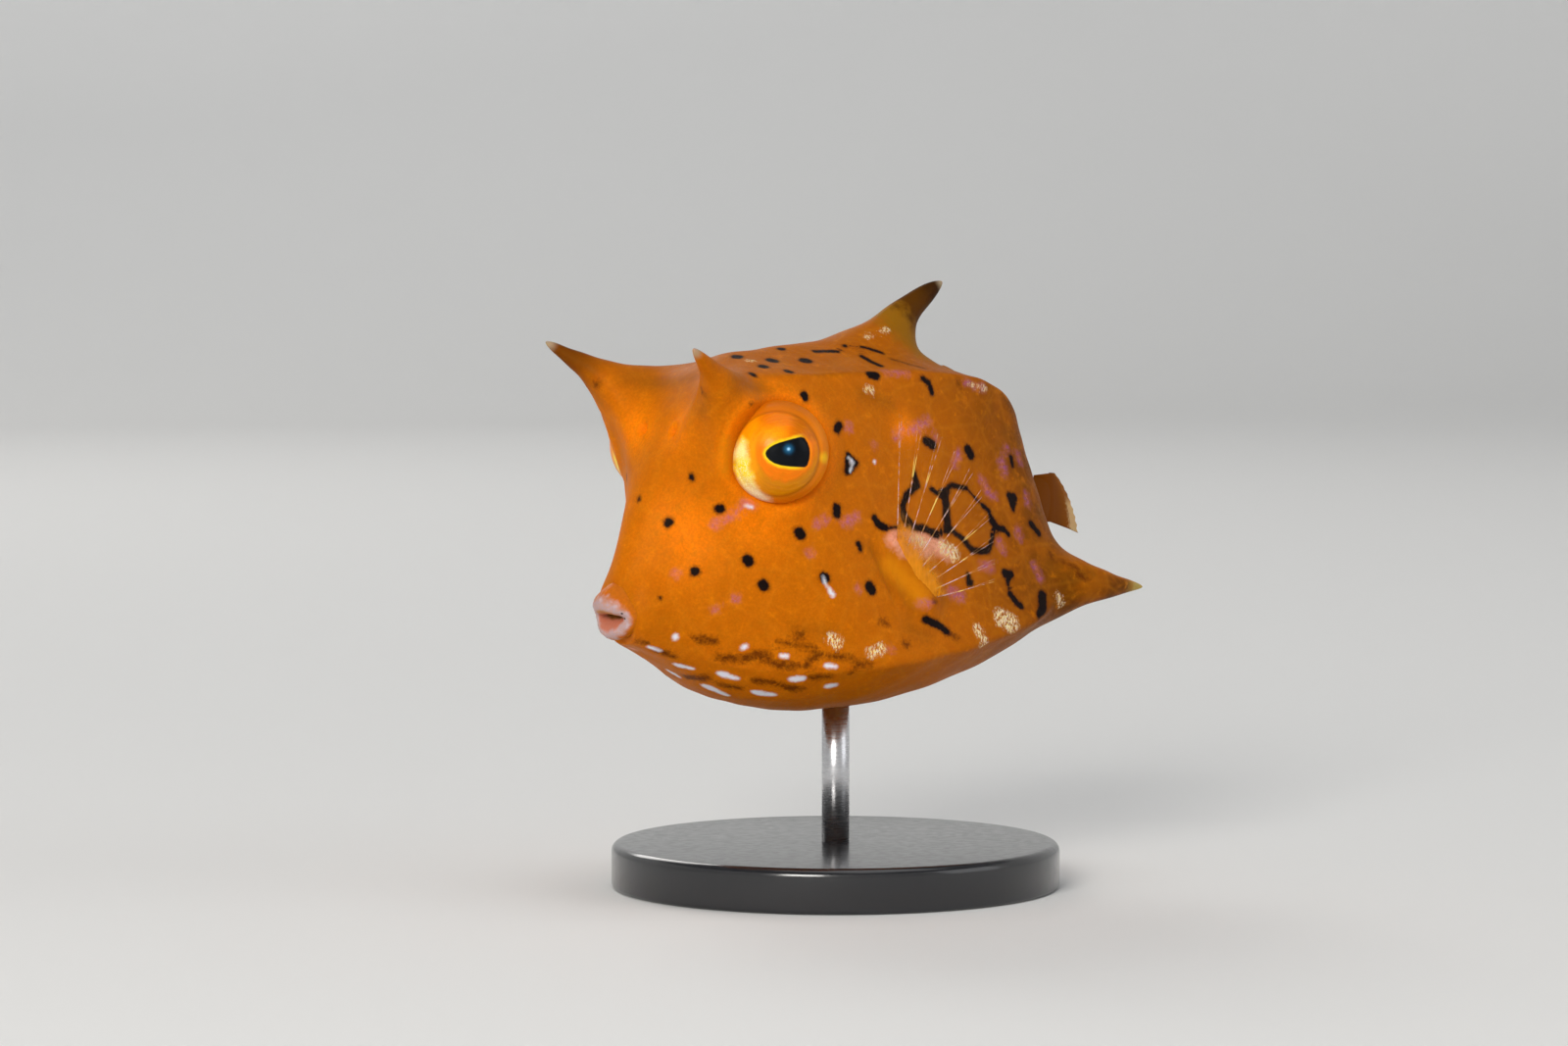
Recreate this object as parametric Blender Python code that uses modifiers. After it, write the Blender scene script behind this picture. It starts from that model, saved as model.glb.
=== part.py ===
"""A young thornback cowfish, life size, swimming level on a plain display stand.

Run with: blender --background --python part.py, or from Blender's text editor.
Metres, +Z up. The origin is the middle of the underside of the stand's base.

The fish is drawn in a frame of its own, in millimetres: x runs back from the lips,
y to the fish's right and z up from the middle of the mouth. The empty "cowfish"
carries that frame to its height over the base. The fish faces -X.

The hard case of the body is one cage, lofted through four lines (back, shoulder,
keel and belly), with the horns, the back thorn and the hip spines drawn out of it.
Subdivision rounds the cage, and thin cuts part it into the pieces a person would name.
"""
import math

import bmesh
import bpy
from mathutils import Matrix, Vector
from mathutils.bvhtree import BVHTree

MM = 0.001
GAP = 0.3              # room between two pieces that meet

# Driving sizes, in millimetres
EYE_RADIUS = 2.9
EYE_CENTRE = (9.6, 5.25, 9.3)
GAZE = (-0.498, 0.864, 0.07)   # way that the right eye looks
BASE_RADIUS = 13.0
BASE_THICK = 2.6
BASE_EDGE = 0.5
ROD_RADIUS = 0.8
ROD_SHOWN = 8.0        # length of rod seen between base and belly
ROD_HELD = 1.5         # length of rod held in the base, and in the belly
STAND_X = 18.4         # the point of the fish's length that stands over the middle of the base
HEAD_CUT = 14.5        # where the head is parted from the trunk
REAR_CUT = 32.3        # where the tail stem and the hip spines are parted from the trunk
THORN_CUT = 15.75      # height at which the back thorn is parted from the back
HORN_CUT = 0.2         # share of the horn's length at which it is parted from the head

# The four lines of the case, one point for each ring of the cage, from lips to tail.
BACK = ((1.95, 1.5), (2.15, 2.9), (3.1, 5.6), (4.4, 8.8), (6.1, 12.1), (8.3, 14.5), (12.1, 15.0),
        (16.9, 15.3), (21.9, 15.15), (26.2, 13.2), (28.7, 12.1), (29.9, 9.4), (30.4, 8.0),
        (30.8, 6.9), (32.4, 6.8), (33.6, 6.7), (34.9, 6.6))
SHOULDER = ((2.1, 1.1, 1.0), (2.9, 1.5, 2.4), (4.8, 2.3, 5.5), (5.9, 3.4, 9.3), (6.5, 4.7, 12.8),
            (9.0, 4.7, 13.6), (12.7, 4.6, 13.5), (17.2, 4.6, 13.5), (21.7, 4.55, 13.5),
            (25.9, 4.4, 13.0), (28.7, 4.0, 11.8), (30.1, 2.9, 8.9), (30.6, 1.9, 7.2),
            (30.8, 1.0, 6.3), (32.4, 1.0, 6.2), (33.6, 0.95, 6.15), (34.9, 0.8, 6.1))
KEEL = ((2.75, 1.1, -1.0), (3.3, 1.4, -1.5), (5.5, 2.3, -2.2), (7.9, 4.0, -2.9), (10.3, 6.1, -3.1),
        (12.7, 7.7, -3.05), (15.4, 8.5, -2.9), (18.6, 8.6, -2.6), (22.2, 8.5, -2.1),
        (25.9, 8.2, -1.3), (28.9, 7.8, -0.4), (31.1, 6.7, 0.6), (31.4, 3.7, 2.3),
        (31.1, 1.3, 4.4), (32.6, 1.0, 4.5), (33.7, 0.95, 4.5), (34.9, 0.8, 4.55))
BELLY = ((2.9, -1.5), (3.8, -1.8), (6.0, -3.0), (8.1, -4.45), (10.4, -5.4), (12.7, -5.9),
         (15.5, -6.15), (18.9, -6.0), (22.5, -5.45), (25.9, -4.4), (29.2, -3.1), (31.3, -1.2),
         (31.7, 1.1), (31.3, 3.7), (32.7, 3.85), (33.8, 3.9), (34.9, 4.0))
# How far the side swells out (+) or falls in (-) at three heights between shoulder and keel,
# ring by ring. The last row holds for every ring behind it too.
SIDE_SWELL = ((0.25, 0.35, 0.25), (0.5, 0.7, 0.5), (0.6, 1.3, 1.0), (0.5, 1.4, 1.3),
              (-1.3, 0.1, 0.8), (-0.4, 0.5, 0.6), (0.5, 0.4, 0.3), (0.1, 0.0, 0.0),
              (-0.2, -0.3, -0.2), (-0.3, -0.4, -0.3), (-0.2, -0.3, -0.2), (0.2, 0.2, 0.2),
              (0.2, 0.3, 0.2))
BELLY_FULLNESS = 1.7   # exponent of the belly's arc: 2 is an ellipse, 1 a straight line
SIDE_STEPS = 4
BELLY_STEPS = 3
HORN_RING, THORN_RING, HIP_RING = 4, 8, 11
KEEL_START = 2         # the ring at which the keel's ridge begins
RIDGE_END = 12         # the ring at which the ridges have run out
STEM_RING = 13         # the ring at the root of the tail stem
SHOULDER_COLUMN = 2
KEEL_COLUMN = SHOULDER_COLUMN + SIDE_STEPS
BACK_CREASE, SHOULDER_CREASE, KEEL_CREASE = 0.3, 0.75, 0.6
ROUNDING = 2           # levels of subdivision
FACES_KEPT = 0.42      # share of the rounded case's triangles that is kept

# Spines of the right side: (centre, half length, half width) of each section, and the tip
HORN = (((5.75, 5.0, 13.0), 1.45, 1.45), ((4.6, 5.65, 13.9), 0.78, 0.78),
        ((3.45, 6.2, 14.6), 0.42, 0.42))
HORN_TIP = (2.42, 6.64, 15.3)
THORN = (((22.7, 0.0, 15.1), 2.1, 1.35), ((23.2, 0.0, 16.25), 1.35, 0.85),
         ((24.3, 0.0, 17.2), 0.9, 0.55))
THORN_TIP = (26.6, 0.0, 18.4)
HIP = (((31.4, 7.3, 0.85), 1.3, 1.2), ((33.2, 7.4, 0.72), 0.8, 0.75),
       ((34.4, 7.45, 0.62), 0.48, 0.48))
HIP_TIP = (35.7, 7.5, 0.5)
TIP_STRETCH = 2.25     # a cage's point is drawn in by subdivision to 4/9 of its length

# The tail swings to the fish's right along an arc that starts at the stem
SWING_START = 32.7
SWING_RADIUS = 6.4
SWING_LENGTH = 3.3
TAIL_DROOP = 0.1       # fall of the tail fin for each millimetre of its length
STEM_MIDDLE = 5.3      # height of the stem's axis over the mouth

# Blade of a fin: its thickness between rays, over a ray, at the tip and at the root
FIN_SKIN = 0.5
FIN_OVER_RAY = 0.72
FIN_TIP = 0.3
FIN_ROOT = 0.9
FIN_STEPS = 4
FIN_SEAT = 0.5         # depth to which a fin's root is set in the body
FIN_LOBE = 0.4         # height of the fleshy lobe over the skin
FIN_SCALLOP = 0.94     # length between two rays as a share of theirs

# Side fins: x and z of the first and last root, lean of the first and last ray from upright
# and its angle away from the flank in radians, and the lengths of those rays
SIDE_FIN_ROOTS = ((16.6, 3.9), (18.6, 0.7))
SIDE_FIN_LEANS = (-0.32, 1.35)
SIDE_FIN_TILT = 0.38
SIDE_FIN_LENGTHS = (8.6, 4.0)
SIDE_FIN_BOW = (0.35, 0.55)      # back, and in towards the body
SIDE_FIN_RAYS = 10

# Fins of the middle line: place of the first and last root, way and length of those rays
DORSAL_ROOTS = (26.4, 28.3)
DORSAL_WAYS = ((0.62, 0.75, 0.02), (0.92, 0.36, -0.22))
DORSAL_LENGTHS = (5.0, 3.9)
DORSAL_OUT = (0.35, 0.0, 0.94)
DORSAL_BOW = (0.2, 0.0, -0.3)
ANAL_ROOTS = (-0.3, 2.0)
ANAL_WAYS = ((0.75, 0.62, -0.2), (0.78, 0.6, 0.15))
ANAL_LENGTHS = (4.6, 3.6)
ANAL_OUT = (1.0, 0.0, 0.0)
ANAL_BOW = (0.2, 0.2, 0.0)
MIDDLE_FIN_RAYS = 9

# Tail fin, closed like a brush
TAIL_ROOT_HALF = 1.05
TAIL_LEANS = (0.18, -0.14)
TAIL_LENGTHS = (4.0, 5.7)
TAIL_ROUNDING = 0.04             # how much shorter each ray is, by its place squared
TAIL_BOW = (0.0, 0.25, 0.0)

# Soft lid round each eye: radius of its ridge about the line of sight, rise and width
LID_RADIUS = 3.3
LID_RISE = 0.45
LID_WIDTH = 0.55

# Small openings of the head: where a line straight in meets the skin, and their sizes
NOSTRIL_AT = (1.4, 10.4)         # y and z
NOSTRIL_RADIUS = 0.3
GILL_SLIT_AT = (15.6, 2.3)       # x and z
GILL_SLIT_HALF = (0.18, 0.9, 1.7)
GILL_SLIT_LEAN = -0.35

# Lips: (half width, half height, rise) of each ring from the seat in to the mouth's slit
LIPS_AT = (2.4, 0.0, 0.22)
LIPS_FACING = (-1.0, 0.0, -0.32)
LIPS = ((1.18, 1.08, 0.0), (1.44, 1.36, 0.2), (1.53, 1.44, 0.45), (1.44, 1.34, 0.72),
        (1.22, 1.08, 0.9), (1.04, 0.74, 0.94), (0.9, 0.44, 0.84), (0.8, 0.22, 0.62),
        (0.72, 0.13, 0.42))
MOUTH_DEPTH = 0.36
CORNER_FALL = 0.3                # how far the lips fall back at the mouth's corners

# Look of each kind of piece: (colour, roughness, metallic, alpha), by a word of its name
SKIN_LOOK = ((0.80, 0.27, 0.02), 0.45, 0.0, 1.0)
SPINE_LOOK = ((0.75, 0.30, 0.06), 0.4, 0.0, 1.0)
LOOKS = {"eye": ((0.85, 0.55, 0.08), 0.15, 0.0, 1.0), "lips": ((0.85, 0.62, 0.5), 0.45, 0.0, 1.0),
         "fin": ((0.9, 0.62, 0.3), 0.35, 0.0, 0.55), "horn": SPINE_LOOK, "spine": SPINE_LOOK,
         "thorn": SPINE_LOOK, "rod": ((0.6, 0.6, 0.62), 0.3, 1.0, 1.0),
         "base": ((0.03, 0.03, 0.035), 0.35, 0.0, 1.0)}

FAR = 60.0             # a distance well clear of the fish, from which lines are sent in


def remove_everything():
    """Starts from an empty scene."""
    for thing in list(bpy.data.objects):
        bpy.data.objects.remove(thing)


def new_collection(name):
    """A collection linked to the scene."""
    group = bpy.data.collections.new(name)
    bpy.context.scene.collection.children.link(group)
    return group


def mesh_object(name, bm, group):
    """Turns a bmesh in millimetres into an object in metres."""
    bmesh.ops.recalc_face_normals(bm, faces=bm.faces)
    mesh = bpy.data.meshes.new(name)
    bm.to_mesh(mesh)
    bm.free()
    mesh.transform(Matrix.Scale(MM, 4))
    thing = bpy.data.objects.new(name, mesh)
    group.objects.link(thing)
    return thing


def mirrored(point):
    """The same point on the other side of the fish."""
    return Vector((point[0], -point[1], point[2]))


def both_sides(right):
    """The left and the right copy of a point of the right side, with their side and word."""
    return ((-1, "left", mirrored(right)), (1, "right", Vector(right)))


def centre_of(points):
    """The middle of some vertices."""
    return sum((v.co for v in points), Vector()) / len(points)


def even(first, last, count):
    """Evenly spaced points or numbers from first to last."""
    return [first + (last - first) * (i / (count - 1)) for i in range(count)]


def swung(point):
    """Carries a point of the straight tail to its place in the tail that swings right."""
    run = max(0.0, point.x - SWING_START)
    if run == 0.0:
        return point.copy()
    turn = min(run, SWING_LENGTH) / SWING_RADIUS
    past = max(0.0, run - SWING_LENGTH)
    x = SWING_START + (SWING_RADIUS - point.y) * math.sin(turn) + past * math.cos(turn)
    y = SWING_RADIUS - (SWING_RADIUS - point.y) * math.cos(turn) + past * math.sin(turn)
    return Vector((x, y, point.z - past * TAIL_DROOP))


# The case

def half_ring(i):
    """The points of ring i down the right side, from the back line to the belly line."""
    back = Vector((BACK[i][0], 0.0, BACK[i][1]))
    belly = Vector((BELLY[i][0], 0.0, BELLY[i][1]))
    shoulder, keel = Vector(SHOULDER[i]), Vector(KEEL[i])
    roof = back.lerp(shoulder, 0.5)
    roof.x = back.x + (shoulder.x - back.x) / 4
    swell = SIDE_SWELL[min(i, len(SIDE_SWELL) - 1)]
    points = [back, roof, shoulder]
    for k in range(1, SIDE_STEPS):
        point = shoulder.lerp(keel, k / SIDE_STEPS)
        point.y += swell[k - 1]
        points.append(point)
    points.append(keel)
    for k in range(1, BELLY_STEPS):
        share = k / BELLY_STEPS
        width = 1 - share
        drop = (1 - width ** BELLY_FULLNESS) ** (1 / BELLY_FULLNESS)
        x = keel.x + (belly.x - keel.x) * share
        points.append(Vector((x, keel.y * width, keel.z + (belly.z - keel.z) * drop)))
    points.append(belly)
    return points


def rim_in_order(faces):
    """The vertices round a patch of faces, in order round its edge."""
    patch = set(faces)
    edges = {e for f in faces for e in f.edges if len(patch.intersection(e.link_faces)) == 1}
    start = min(edges, key=lambda e: e.index)
    loop = next(k for k in start.link_loops if k.face in patch)
    order = [loop.vert]
    here = loop.link_loop_next.vert
    while here is not order[0]:
        order.append(here)
        outgoing = (k for k in here.link_loops if k.face in patch and k.edge in edges)
        here = next(outgoing).link_loop_next.vert
    return order


def spine_ring(bm, before, rim, centre, axis, half_length, half_width):
    """One section of a spine, turned so that its points follow those of the rim before it."""
    side = axis.cross(Vector((0, 1, 0))).normalized()
    across = axis.cross(side)
    count = len(rim)
    turns = []
    for j, v in enumerate(rim):
        out = v.co - before
        turns.append(math.atan2(out.dot(across), out.dot(side)) - math.tau * j / count)
    phase = math.atan2(sum(map(math.sin, turns)), sum(map(math.cos, turns)))
    ring = []
    for j in range(count):
        turn = phase + math.tau * j / count
        arm = side * half_length * math.cos(turn) + across * half_width * math.sin(turn)
        ring.append(bm.verts.new(centre + arm))
    return ring


def draw_out(bm, centre, sections, tip):
    """Replaces the four faces round the vertex centre by a tapering spine."""
    rim = rim_in_order(list(centre.link_faces))
    bm.verts.remove(centre)
    path = [centre_of(rim)] + [Vector(c) for c, _, _ in sections] + [Vector(tip)]
    count = len(rim)
    for k, (_, half_length, half_width) in enumerate(sections):
        axis = (path[k + 2] - path[k]).normalized()
        ring = spine_ring(bm, path[k], rim, path[k + 1], axis, half_length, half_width)
        for j in range(count):
            m = (j + 1) % count
            bm.faces.new((rim[j], rim[m], ring[m], ring[j]))
        rim = ring
    point = bm.verts.new(path[-2] + (path[-1] - path[-2]) * TIP_STRETCH)
    for j in range(1, count, 2):
        bm.faces.new((rim[j - 1], rim[j], rim[(j + 1) % count], point))


def crease_ridges(bm, rings, around):
    """Keeps the back, shoulder and keel lines, and the two end rings, sharper than the rest."""
    crease = bm.edges.layers.float.new("crease_edge")
    for ring in (rings[0], rings[-1]):
        for j in range(around):
            bm.edges.get((ring[j], ring[(j + 1) % around]))[crease] = 1.0
    ridges = ((0, HORN_RING, BACK_CREASE), (SHOULDER_COLUMN, HORN_RING, SHOULDER_CREASE),
              (KEEL_COLUMN, KEEL_START, KEEL_CREASE))
    for column, first, sharpness in ridges:
        for j in {column, (around - column) % around}:
            for i in range(first, RIDGE_END):
                bm.edges.get((rings[i][j], rings[i + 1][j]))[crease] = sharpness


def case_mesh():
    """The whole body case as one closed cage, with its spines and the tail stem."""
    bm = bmesh.new()
    rings = []
    for i in range(len(BACK)):
        half = half_ring(i)
        other = [mirrored(p) for p in reversed(half[1:-1])]
        rings.append([bm.verts.new(swung(p) if i > STEM_RING else p) for p in half + other])
    around = len(rings[0])
    for near, far in zip(rings, rings[1:]):
        for j in range(around):
            k = (j + 1) % around
            bm.faces.new((near[j], far[j], far[k], near[k]))
    bm.faces.new(rings[0])
    bm.faces.new(reversed(rings[-1]))
    crease_ridges(bm, rings, around)
    draw_out(bm, rings[THORN_RING][0], THORN, THORN_TIP)
    for column, ring, sections, tip in ((SHOULDER_COLUMN, HORN_RING, HORN, HORN_TIP),
                                        (KEEL_COLUMN, HIP_RING, HIP, HIP_TIP)):
        draw_out(bm, rings[ring][column], sections, tip)
        left = [(mirrored(c), a, b) for c, a, b in sections]
        draw_out(bm, rings[ring][around - column], left, mirrored(tip))
    return bm


def raise_lids(bm):
    """Raises a soft lid round each eye, where the case meets the eyeball."""
    for side, _, eye in both_sides(EYE_CENTRE):
        gaze = Vector(GAZE).normalized()
        if side < 0:
            gaze = mirrored(gaze)
        for v in bm.verts:
            out = v.co - eye
            off = (out - gaze * out.dot(gaze)).length
            if out.dot(gaze) > -EYE_RADIUS and v.co.y * side > 0:
                v.co += gaze * LID_RISE * math.exp(-((off - LID_RADIUS) / LID_WIDTH) ** 2)


# Plain bodies

def box(name, middle, half, group, turn=None):
    """A box given by its middle and half sizes, turned about its middle."""
    bm = bmesh.new()
    bmesh.ops.create_cube(bm, size=2.0)
    bmesh.ops.transform(bm, matrix=Matrix.Diagonal((*half, 1.0)), verts=bm.verts)
    if turn is not None:
        bmesh.ops.transform(bm, matrix=turn, verts=bm.verts)
    bmesh.ops.translate(bm, vec=Vector(middle), verts=bm.verts)
    return mesh_object(name, bm, group)


def ball(name, middle, radius, sides, bands, group):
    """A sphere with its poles on the y axis."""
    bm = bmesh.new()
    turn = Matrix.Rotation(math.pi / 2, 4, "X")
    bmesh.ops.create_uvsphere(bm, u_segments=sides, v_segments=bands, radius=radius, matrix=turn)
    bmesh.ops.translate(bm, vec=Vector(middle), verts=bm.verts)
    return mesh_object(name, bm, group)


def drum(name, middle, axis, radius, half, group, sides=20):
    """A short cylinder about an axis."""
    bm = bmesh.new()
    bmesh.ops.create_cone(bm, cap_ends=True, segments=sides, radius1=radius, radius2=radius,
                          depth=2 * half)
    turn = Vector(axis).to_track_quat("Z", "Y").to_matrix().to_4x4()
    bmesh.ops.transform(bm, matrix=turn, verts=bm.verts)
    bmesh.ops.translate(bm, vec=Vector(middle), verts=bm.verts)
    return mesh_object(name, bm, group)


def ring_of(half_width, half_height, height, sides, fall=0.0):
    """A level ellipse of points, which falls at its two ends; a point if it has no width."""
    if half_width == 0.0:
        return [Vector((0.0, 0.0, height))]
    points = []
    for j in range(sides):
        turn = math.tau * j / sides
        drop = fall * math.cos(turn) ** 4
        points.append(Vector((half_width * math.cos(turn), half_height * math.sin(turn),
                              height - drop)))
    return points


def body_of_rings(name, rings, turn, group):
    """A closed body through rings of points; it starts and ends with a single point."""
    bm = bmesh.new()
    rings = [[bm.verts.new(turn @ p) for p in ring] for ring in rings]
    sides = max(len(ring) for ring in rings)
    for low, high in zip(rings, rings[1:]):
        for j in range(sides):
            k = (j + 1) % sides
            quad = [low[j % len(low)], low[k % len(low)], high[k % len(high)], high[j % len(high)]]
            bm.faces.new(list(dict.fromkeys(quad)))
    return mesh_object(name, bm, group)


# Fins

def fin_lines(roots, outward, rays, bow):
    """The middle line and the thicknesses of every ray, and of the skin between two rays."""
    lines = []
    for c in range(2 * len(roots) - 1):
        i, between = divmod(c, 2)
        root, ray = roots[i], rays[i]
        if between:
            root = (root + roots[i + 1]) / 2
            ray = (ray + rays[i + 1]) / 2 * FIN_SCALLOP
        foot = root + outward * FIN_LOBE
        points = [root - outward * FIN_SEAT, foot]
        widths = [FIN_ROOT, FIN_ROOT]
        for k in range(1, FIN_STEPS + 1):
            share = k / FIN_STEPS
            points.append(foot + ray * share + bow * share * share)
            widths.append(FIN_SKIN if between else FIN_OVER_RAY)
        widths[-1] = FIN_TIP
        lines.append((points, widths))
    return lines


def fin_mesh(roots, outward, rays, bow, carry=None):
    """A fin: a thin plate from its seat in the body out along its rays, a ridge over each ray.

    roots are points on the skin, rays the vector of each ray, outward the way out of the
    body; bow curves the blade. Both faces are split into triangles alike.
    """
    lines = fin_lines(roots, outward, rays, bow)
    columns, rows = len(lines), len(lines[0][0])
    bm = bmesh.new()
    front, rear = [], []
    for c, (points, widths) in enumerate(lines):
        before, after = lines[max(c - 1, 0)][0], lines[min(c + 1, columns - 1)][0]
        for k in range(rows):
            out = points[min(k + 1, rows - 1)] - points[max(k - 1, 0)]
            normal = (after[k] - before[k]).cross(out).normalized()
            for face, way in ((front, 0.5), (rear, -0.5)):
                place = points[k] + normal * way * widths[k]
                face.append(bm.verts.new(carry(place) if carry else place))

    def triangles(a, b, c, d):
        bm.faces.new((a, b, c))
        bm.faces.new((a, c, d))

    for c in range(columns - 1):
        for k in range(rows - 1):
            i, j = c * rows + k, (c + 1) * rows + k
            triangles(front[i], front[j], front[j + 1], front[i + 1])
            triangles(rear[i], rear[j], rear[j + 1], rear[i + 1])
        for k in (0, rows - 1):
            i, j = c * rows + k, (c + 1) * rows + k
            triangles(front[i], front[j], rear[j], rear[i])
    for c in (0, columns - 1):
        for k in range(rows - 1):
            i = c * rows + k
            triangles(front[i], front[i + 1], rear[i + 1], rear[i])
    return bm


def skin_point(tree, start, way):
    """Where a straight line from start meets the case."""
    hit, _, _, _ = tree.ray_cast(Vector(start) * MM, Vector(way).normalized())
    return hit / MM


def side_fin_plan(tree, side):
    """Roots, outward way, rays and bow of the fin behind the gill slit on one side."""
    first, last = (skin_point(tree, (x, side * FAR, z), (0, -side, 0)) for x, z in SIDE_FIN_ROOTS)
    rays = []
    level, off = math.cos(SIDE_FIN_TILT), math.sin(SIDE_FIN_TILT)
    for lean, length in zip(even(*SIDE_FIN_LEANS, SIDE_FIN_RAYS), even(*SIDE_FIN_LENGTHS, SIDE_FIN_RAYS)):
        way = Vector((math.sin(lean) * level, side * off, math.cos(lean) * level))
        rays.append(way * length)
    outward = Vector((0.0, side, 0.15)).normalized()
    bow = Vector((SIDE_FIN_BOW[0], -side * SIDE_FIN_BOW[1], 0.0))
    return even(first, last, SIDE_FIN_RAYS), outward, rays, bow


def middle_fin_plan(first, last, outward, ways, lengths, bow):
    """Roots, outward way, rays and bow of a fin on the middle line."""
    between = even(Vector(ways[0]), Vector(ways[1]), MIDDLE_FIN_RAYS)
    rays = [way.normalized() * length for way, length in zip(between, even(*lengths, MIDDLE_FIN_RAYS))]
    return even(first, last, MIDDLE_FIN_RAYS), Vector(outward), rays, Vector(bow)


def fin_plans(tree):
    """The plan of every fin that is seated in the case, by name."""
    under_thorn = THORN[0][0][2]
    dorsal = [skin_point(tree, (x, 0, under_thorn), (0, 0, -1)) for x in DORSAL_ROOTS]
    anal = [skin_point(tree, (FAR, 0, z), (-1, 0, 0)) for z in ANAL_ROOTS]
    return {
        "pectoral_fin_left": side_fin_plan(tree, -1),
        "pectoral_fin_right": side_fin_plan(tree, 1),
        "dorsal_fin": middle_fin_plan(*dorsal, DORSAL_OUT, DORSAL_WAYS, DORSAL_LENGTHS, DORSAL_BOW),
        "anal_fin": middle_fin_plan(*anal, ANAL_OUT, ANAL_WAYS, ANAL_LENGTHS, ANAL_BOW),
    }


def tail_fin_mesh():
    """The tail fin, a closed brush of rays at the end of the stem."""
    start = BACK[-1][0] + GAP + FIN_SEAT
    top = Vector((start, 0.0, STEM_MIDDLE + TAIL_ROOT_HALF))
    foot = Vector((start, 0.0, STEM_MIDDLE - TAIL_ROOT_HALF))
    rays = []
    lengths = even(*TAIL_LENGTHS, MIDDLE_FIN_RAYS)
    for i, lean in enumerate(even(*TAIL_LEANS, MIDDLE_FIN_RAYS)):
        length = lengths[i] - TAIL_ROUNDING * (i - MIDDLE_FIN_RAYS // 2) ** 2
        rays.append(Vector((math.cos(lean), 0.0, math.sin(lean))) * length)
    roots = even(top, foot, MIDDLE_FIN_RAYS)
    return fin_mesh(roots, Vector((1.0, 0.0, 0.0)), rays, Vector(TAIL_BOW), swung)


def seat_cutter(name, roots, outward, group):
    """The seat of a fin's root in the body."""
    first, last = roots[0], roots[-1]
    along = (last - first).normalized()
    across = along.cross(outward).normalized()
    turn = Matrix((along, across, across.cross(along))).transposed().to_4x4()
    half = ((last - first).length / 2 + GAP, FIN_ROOT / 2 + GAP, 1.5 * EDGE_CLEAR)
    middle = (first + last) / 2 + outward * (half[2] - FIN_SEAT - GAP)
    return box(name, middle, half, group, turn)


# Cuts and pieces

EDGE_CLEAR = 0.8       # how far a cutter stands out of the surface that it cuts
CUT_HALF = 14.0        # half size of a cut that goes through the whole body


def add_parting_cuts(cuts):
    """Thin cuts between head, trunk, stem, horns, thorn and hip spines."""
    box("head_cut", (HEAD_CUT, 0, 0), (GAP / 2, CUT_HALF, 2 * CUT_HALF), cuts)
    box("rear_cut", (REAR_CUT, 0, 0), (GAP / 2, CUT_HALF, CUT_HALF), cuts)
    root = Vector(THORN[0][0])
    box("thorn_cut", (root.x, 0, THORN_CUT), (2 * THORN[0][1], 2 * THORN[0][2], GAP / 2), cuts)
    root, tip = Vector(HORN[0][0]), Vector(HORN_TIP)
    for _, tag, place in both_sides(root.lerp(tip, HORN_CUT)):
        axis = tip - root if tag == "right" else mirrored(tip - root)
        drum("horn_cut_" + tag, place, axis, HORN[0][1] + EDGE_CLEAR, GAP / 2, cuts)


def add_head_openings(tree, cuts):
    """Eye sockets, nostrils and gill slits of both sides."""
    lean = Matrix.Rotation(GILL_SLIT_LEAN, 4, "Y")
    for side, tag, eye in both_sides(EYE_CENTRE):
        nostril = skin_point(tree, (0, side * NOSTRIL_AT[0], NOSTRIL_AT[1]), (1, 0, 0))
        slit = skin_point(tree, (GILL_SLIT_AT[0], side * FAR, GILL_SLIT_AT[1]), (0, -side, 0))
        ball("eye_socket_" + tag, eye, EYE_RADIUS + GAP, 24, 12, cuts)
        ball("nostril_cut_" + tag, nostril, NOSTRIL_RADIUS, 10, 6, cuts)
        box("gill_slit_" + tag, slit, GILL_SLIT_HALF, cuts, lean)


def add_rod_hole(belly, cuts):
    """The hole in the belly that the rod is held in."""
    top = belly + ROD_HELD + GAP
    half = ROD_HELD + EDGE_CLEAR
    drum("rod_hole", (STAND_X, 0, top - half), (0, 0, 1), ROD_RADIUS + GAP, half, cuts, 24)


def evaluated(thing):
    """The mesh of an object with its modifiers done."""
    bpy.context.view_layer.update()
    graph = bpy.context.evaluated_depsgraph_get()
    return bpy.data.meshes.new_from_object(thing.evaluated_get(graph), depsgraph=graph)


def loose_pieces(bm):
    """The sets of vertices that hang together by edges."""
    loose = set(bm.verts)
    while loose:
        found = [next(iter(loose))]
        piece = set(found)
        while found:
            for edge in found.pop().link_edges:
                fresh = set(edge.verts) - piece
                piece |= fresh
                found.extend(fresh)
        loose -= piece
        yield piece


def part_by_cuts(mesh, group):
    """Splits the cut case into its loose pieces and names each by where it lies."""
    places = {"head": (9, 0, 4), "trunk": (22, 0, 4), "tail_peduncle": (33.8, 0.3, STEM_MIDDLE),
              "horn_left": mirrored(HORN[1][0]), "horn_right": HORN[1][0],
              "back_thorn": THORN[1][0],
              "hip_spine_left": mirrored(HIP[2][0]), "hip_spine_right": HIP[2][0]}
    bm = bmesh.new()
    bm.from_mesh(mesh)
    made = []
    for piece in loose_pieces(bm):
        small = bmesh.new()
        copies = {v: small.verts.new(v.co / MM) for v in sorted(piece, key=lambda v: v.index)}
        for face in bm.faces:
            if face.verts[0] in piece:
                small.faces.new([copies[v] for v in face.verts])
        low = Vector([min(v.co[k] for v in small.verts) for k in range(3)])
        high = Vector([max(v.co[k] for v in small.verts) for k in range(3)])
        middle = (low + high) / 2
        name = min(places, key=lambda n: (Vector(places[n]) - middle).length)
        places.pop(name)
        made.append(mesh_object(name, small, group))
    bm.free()
    return made


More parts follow.
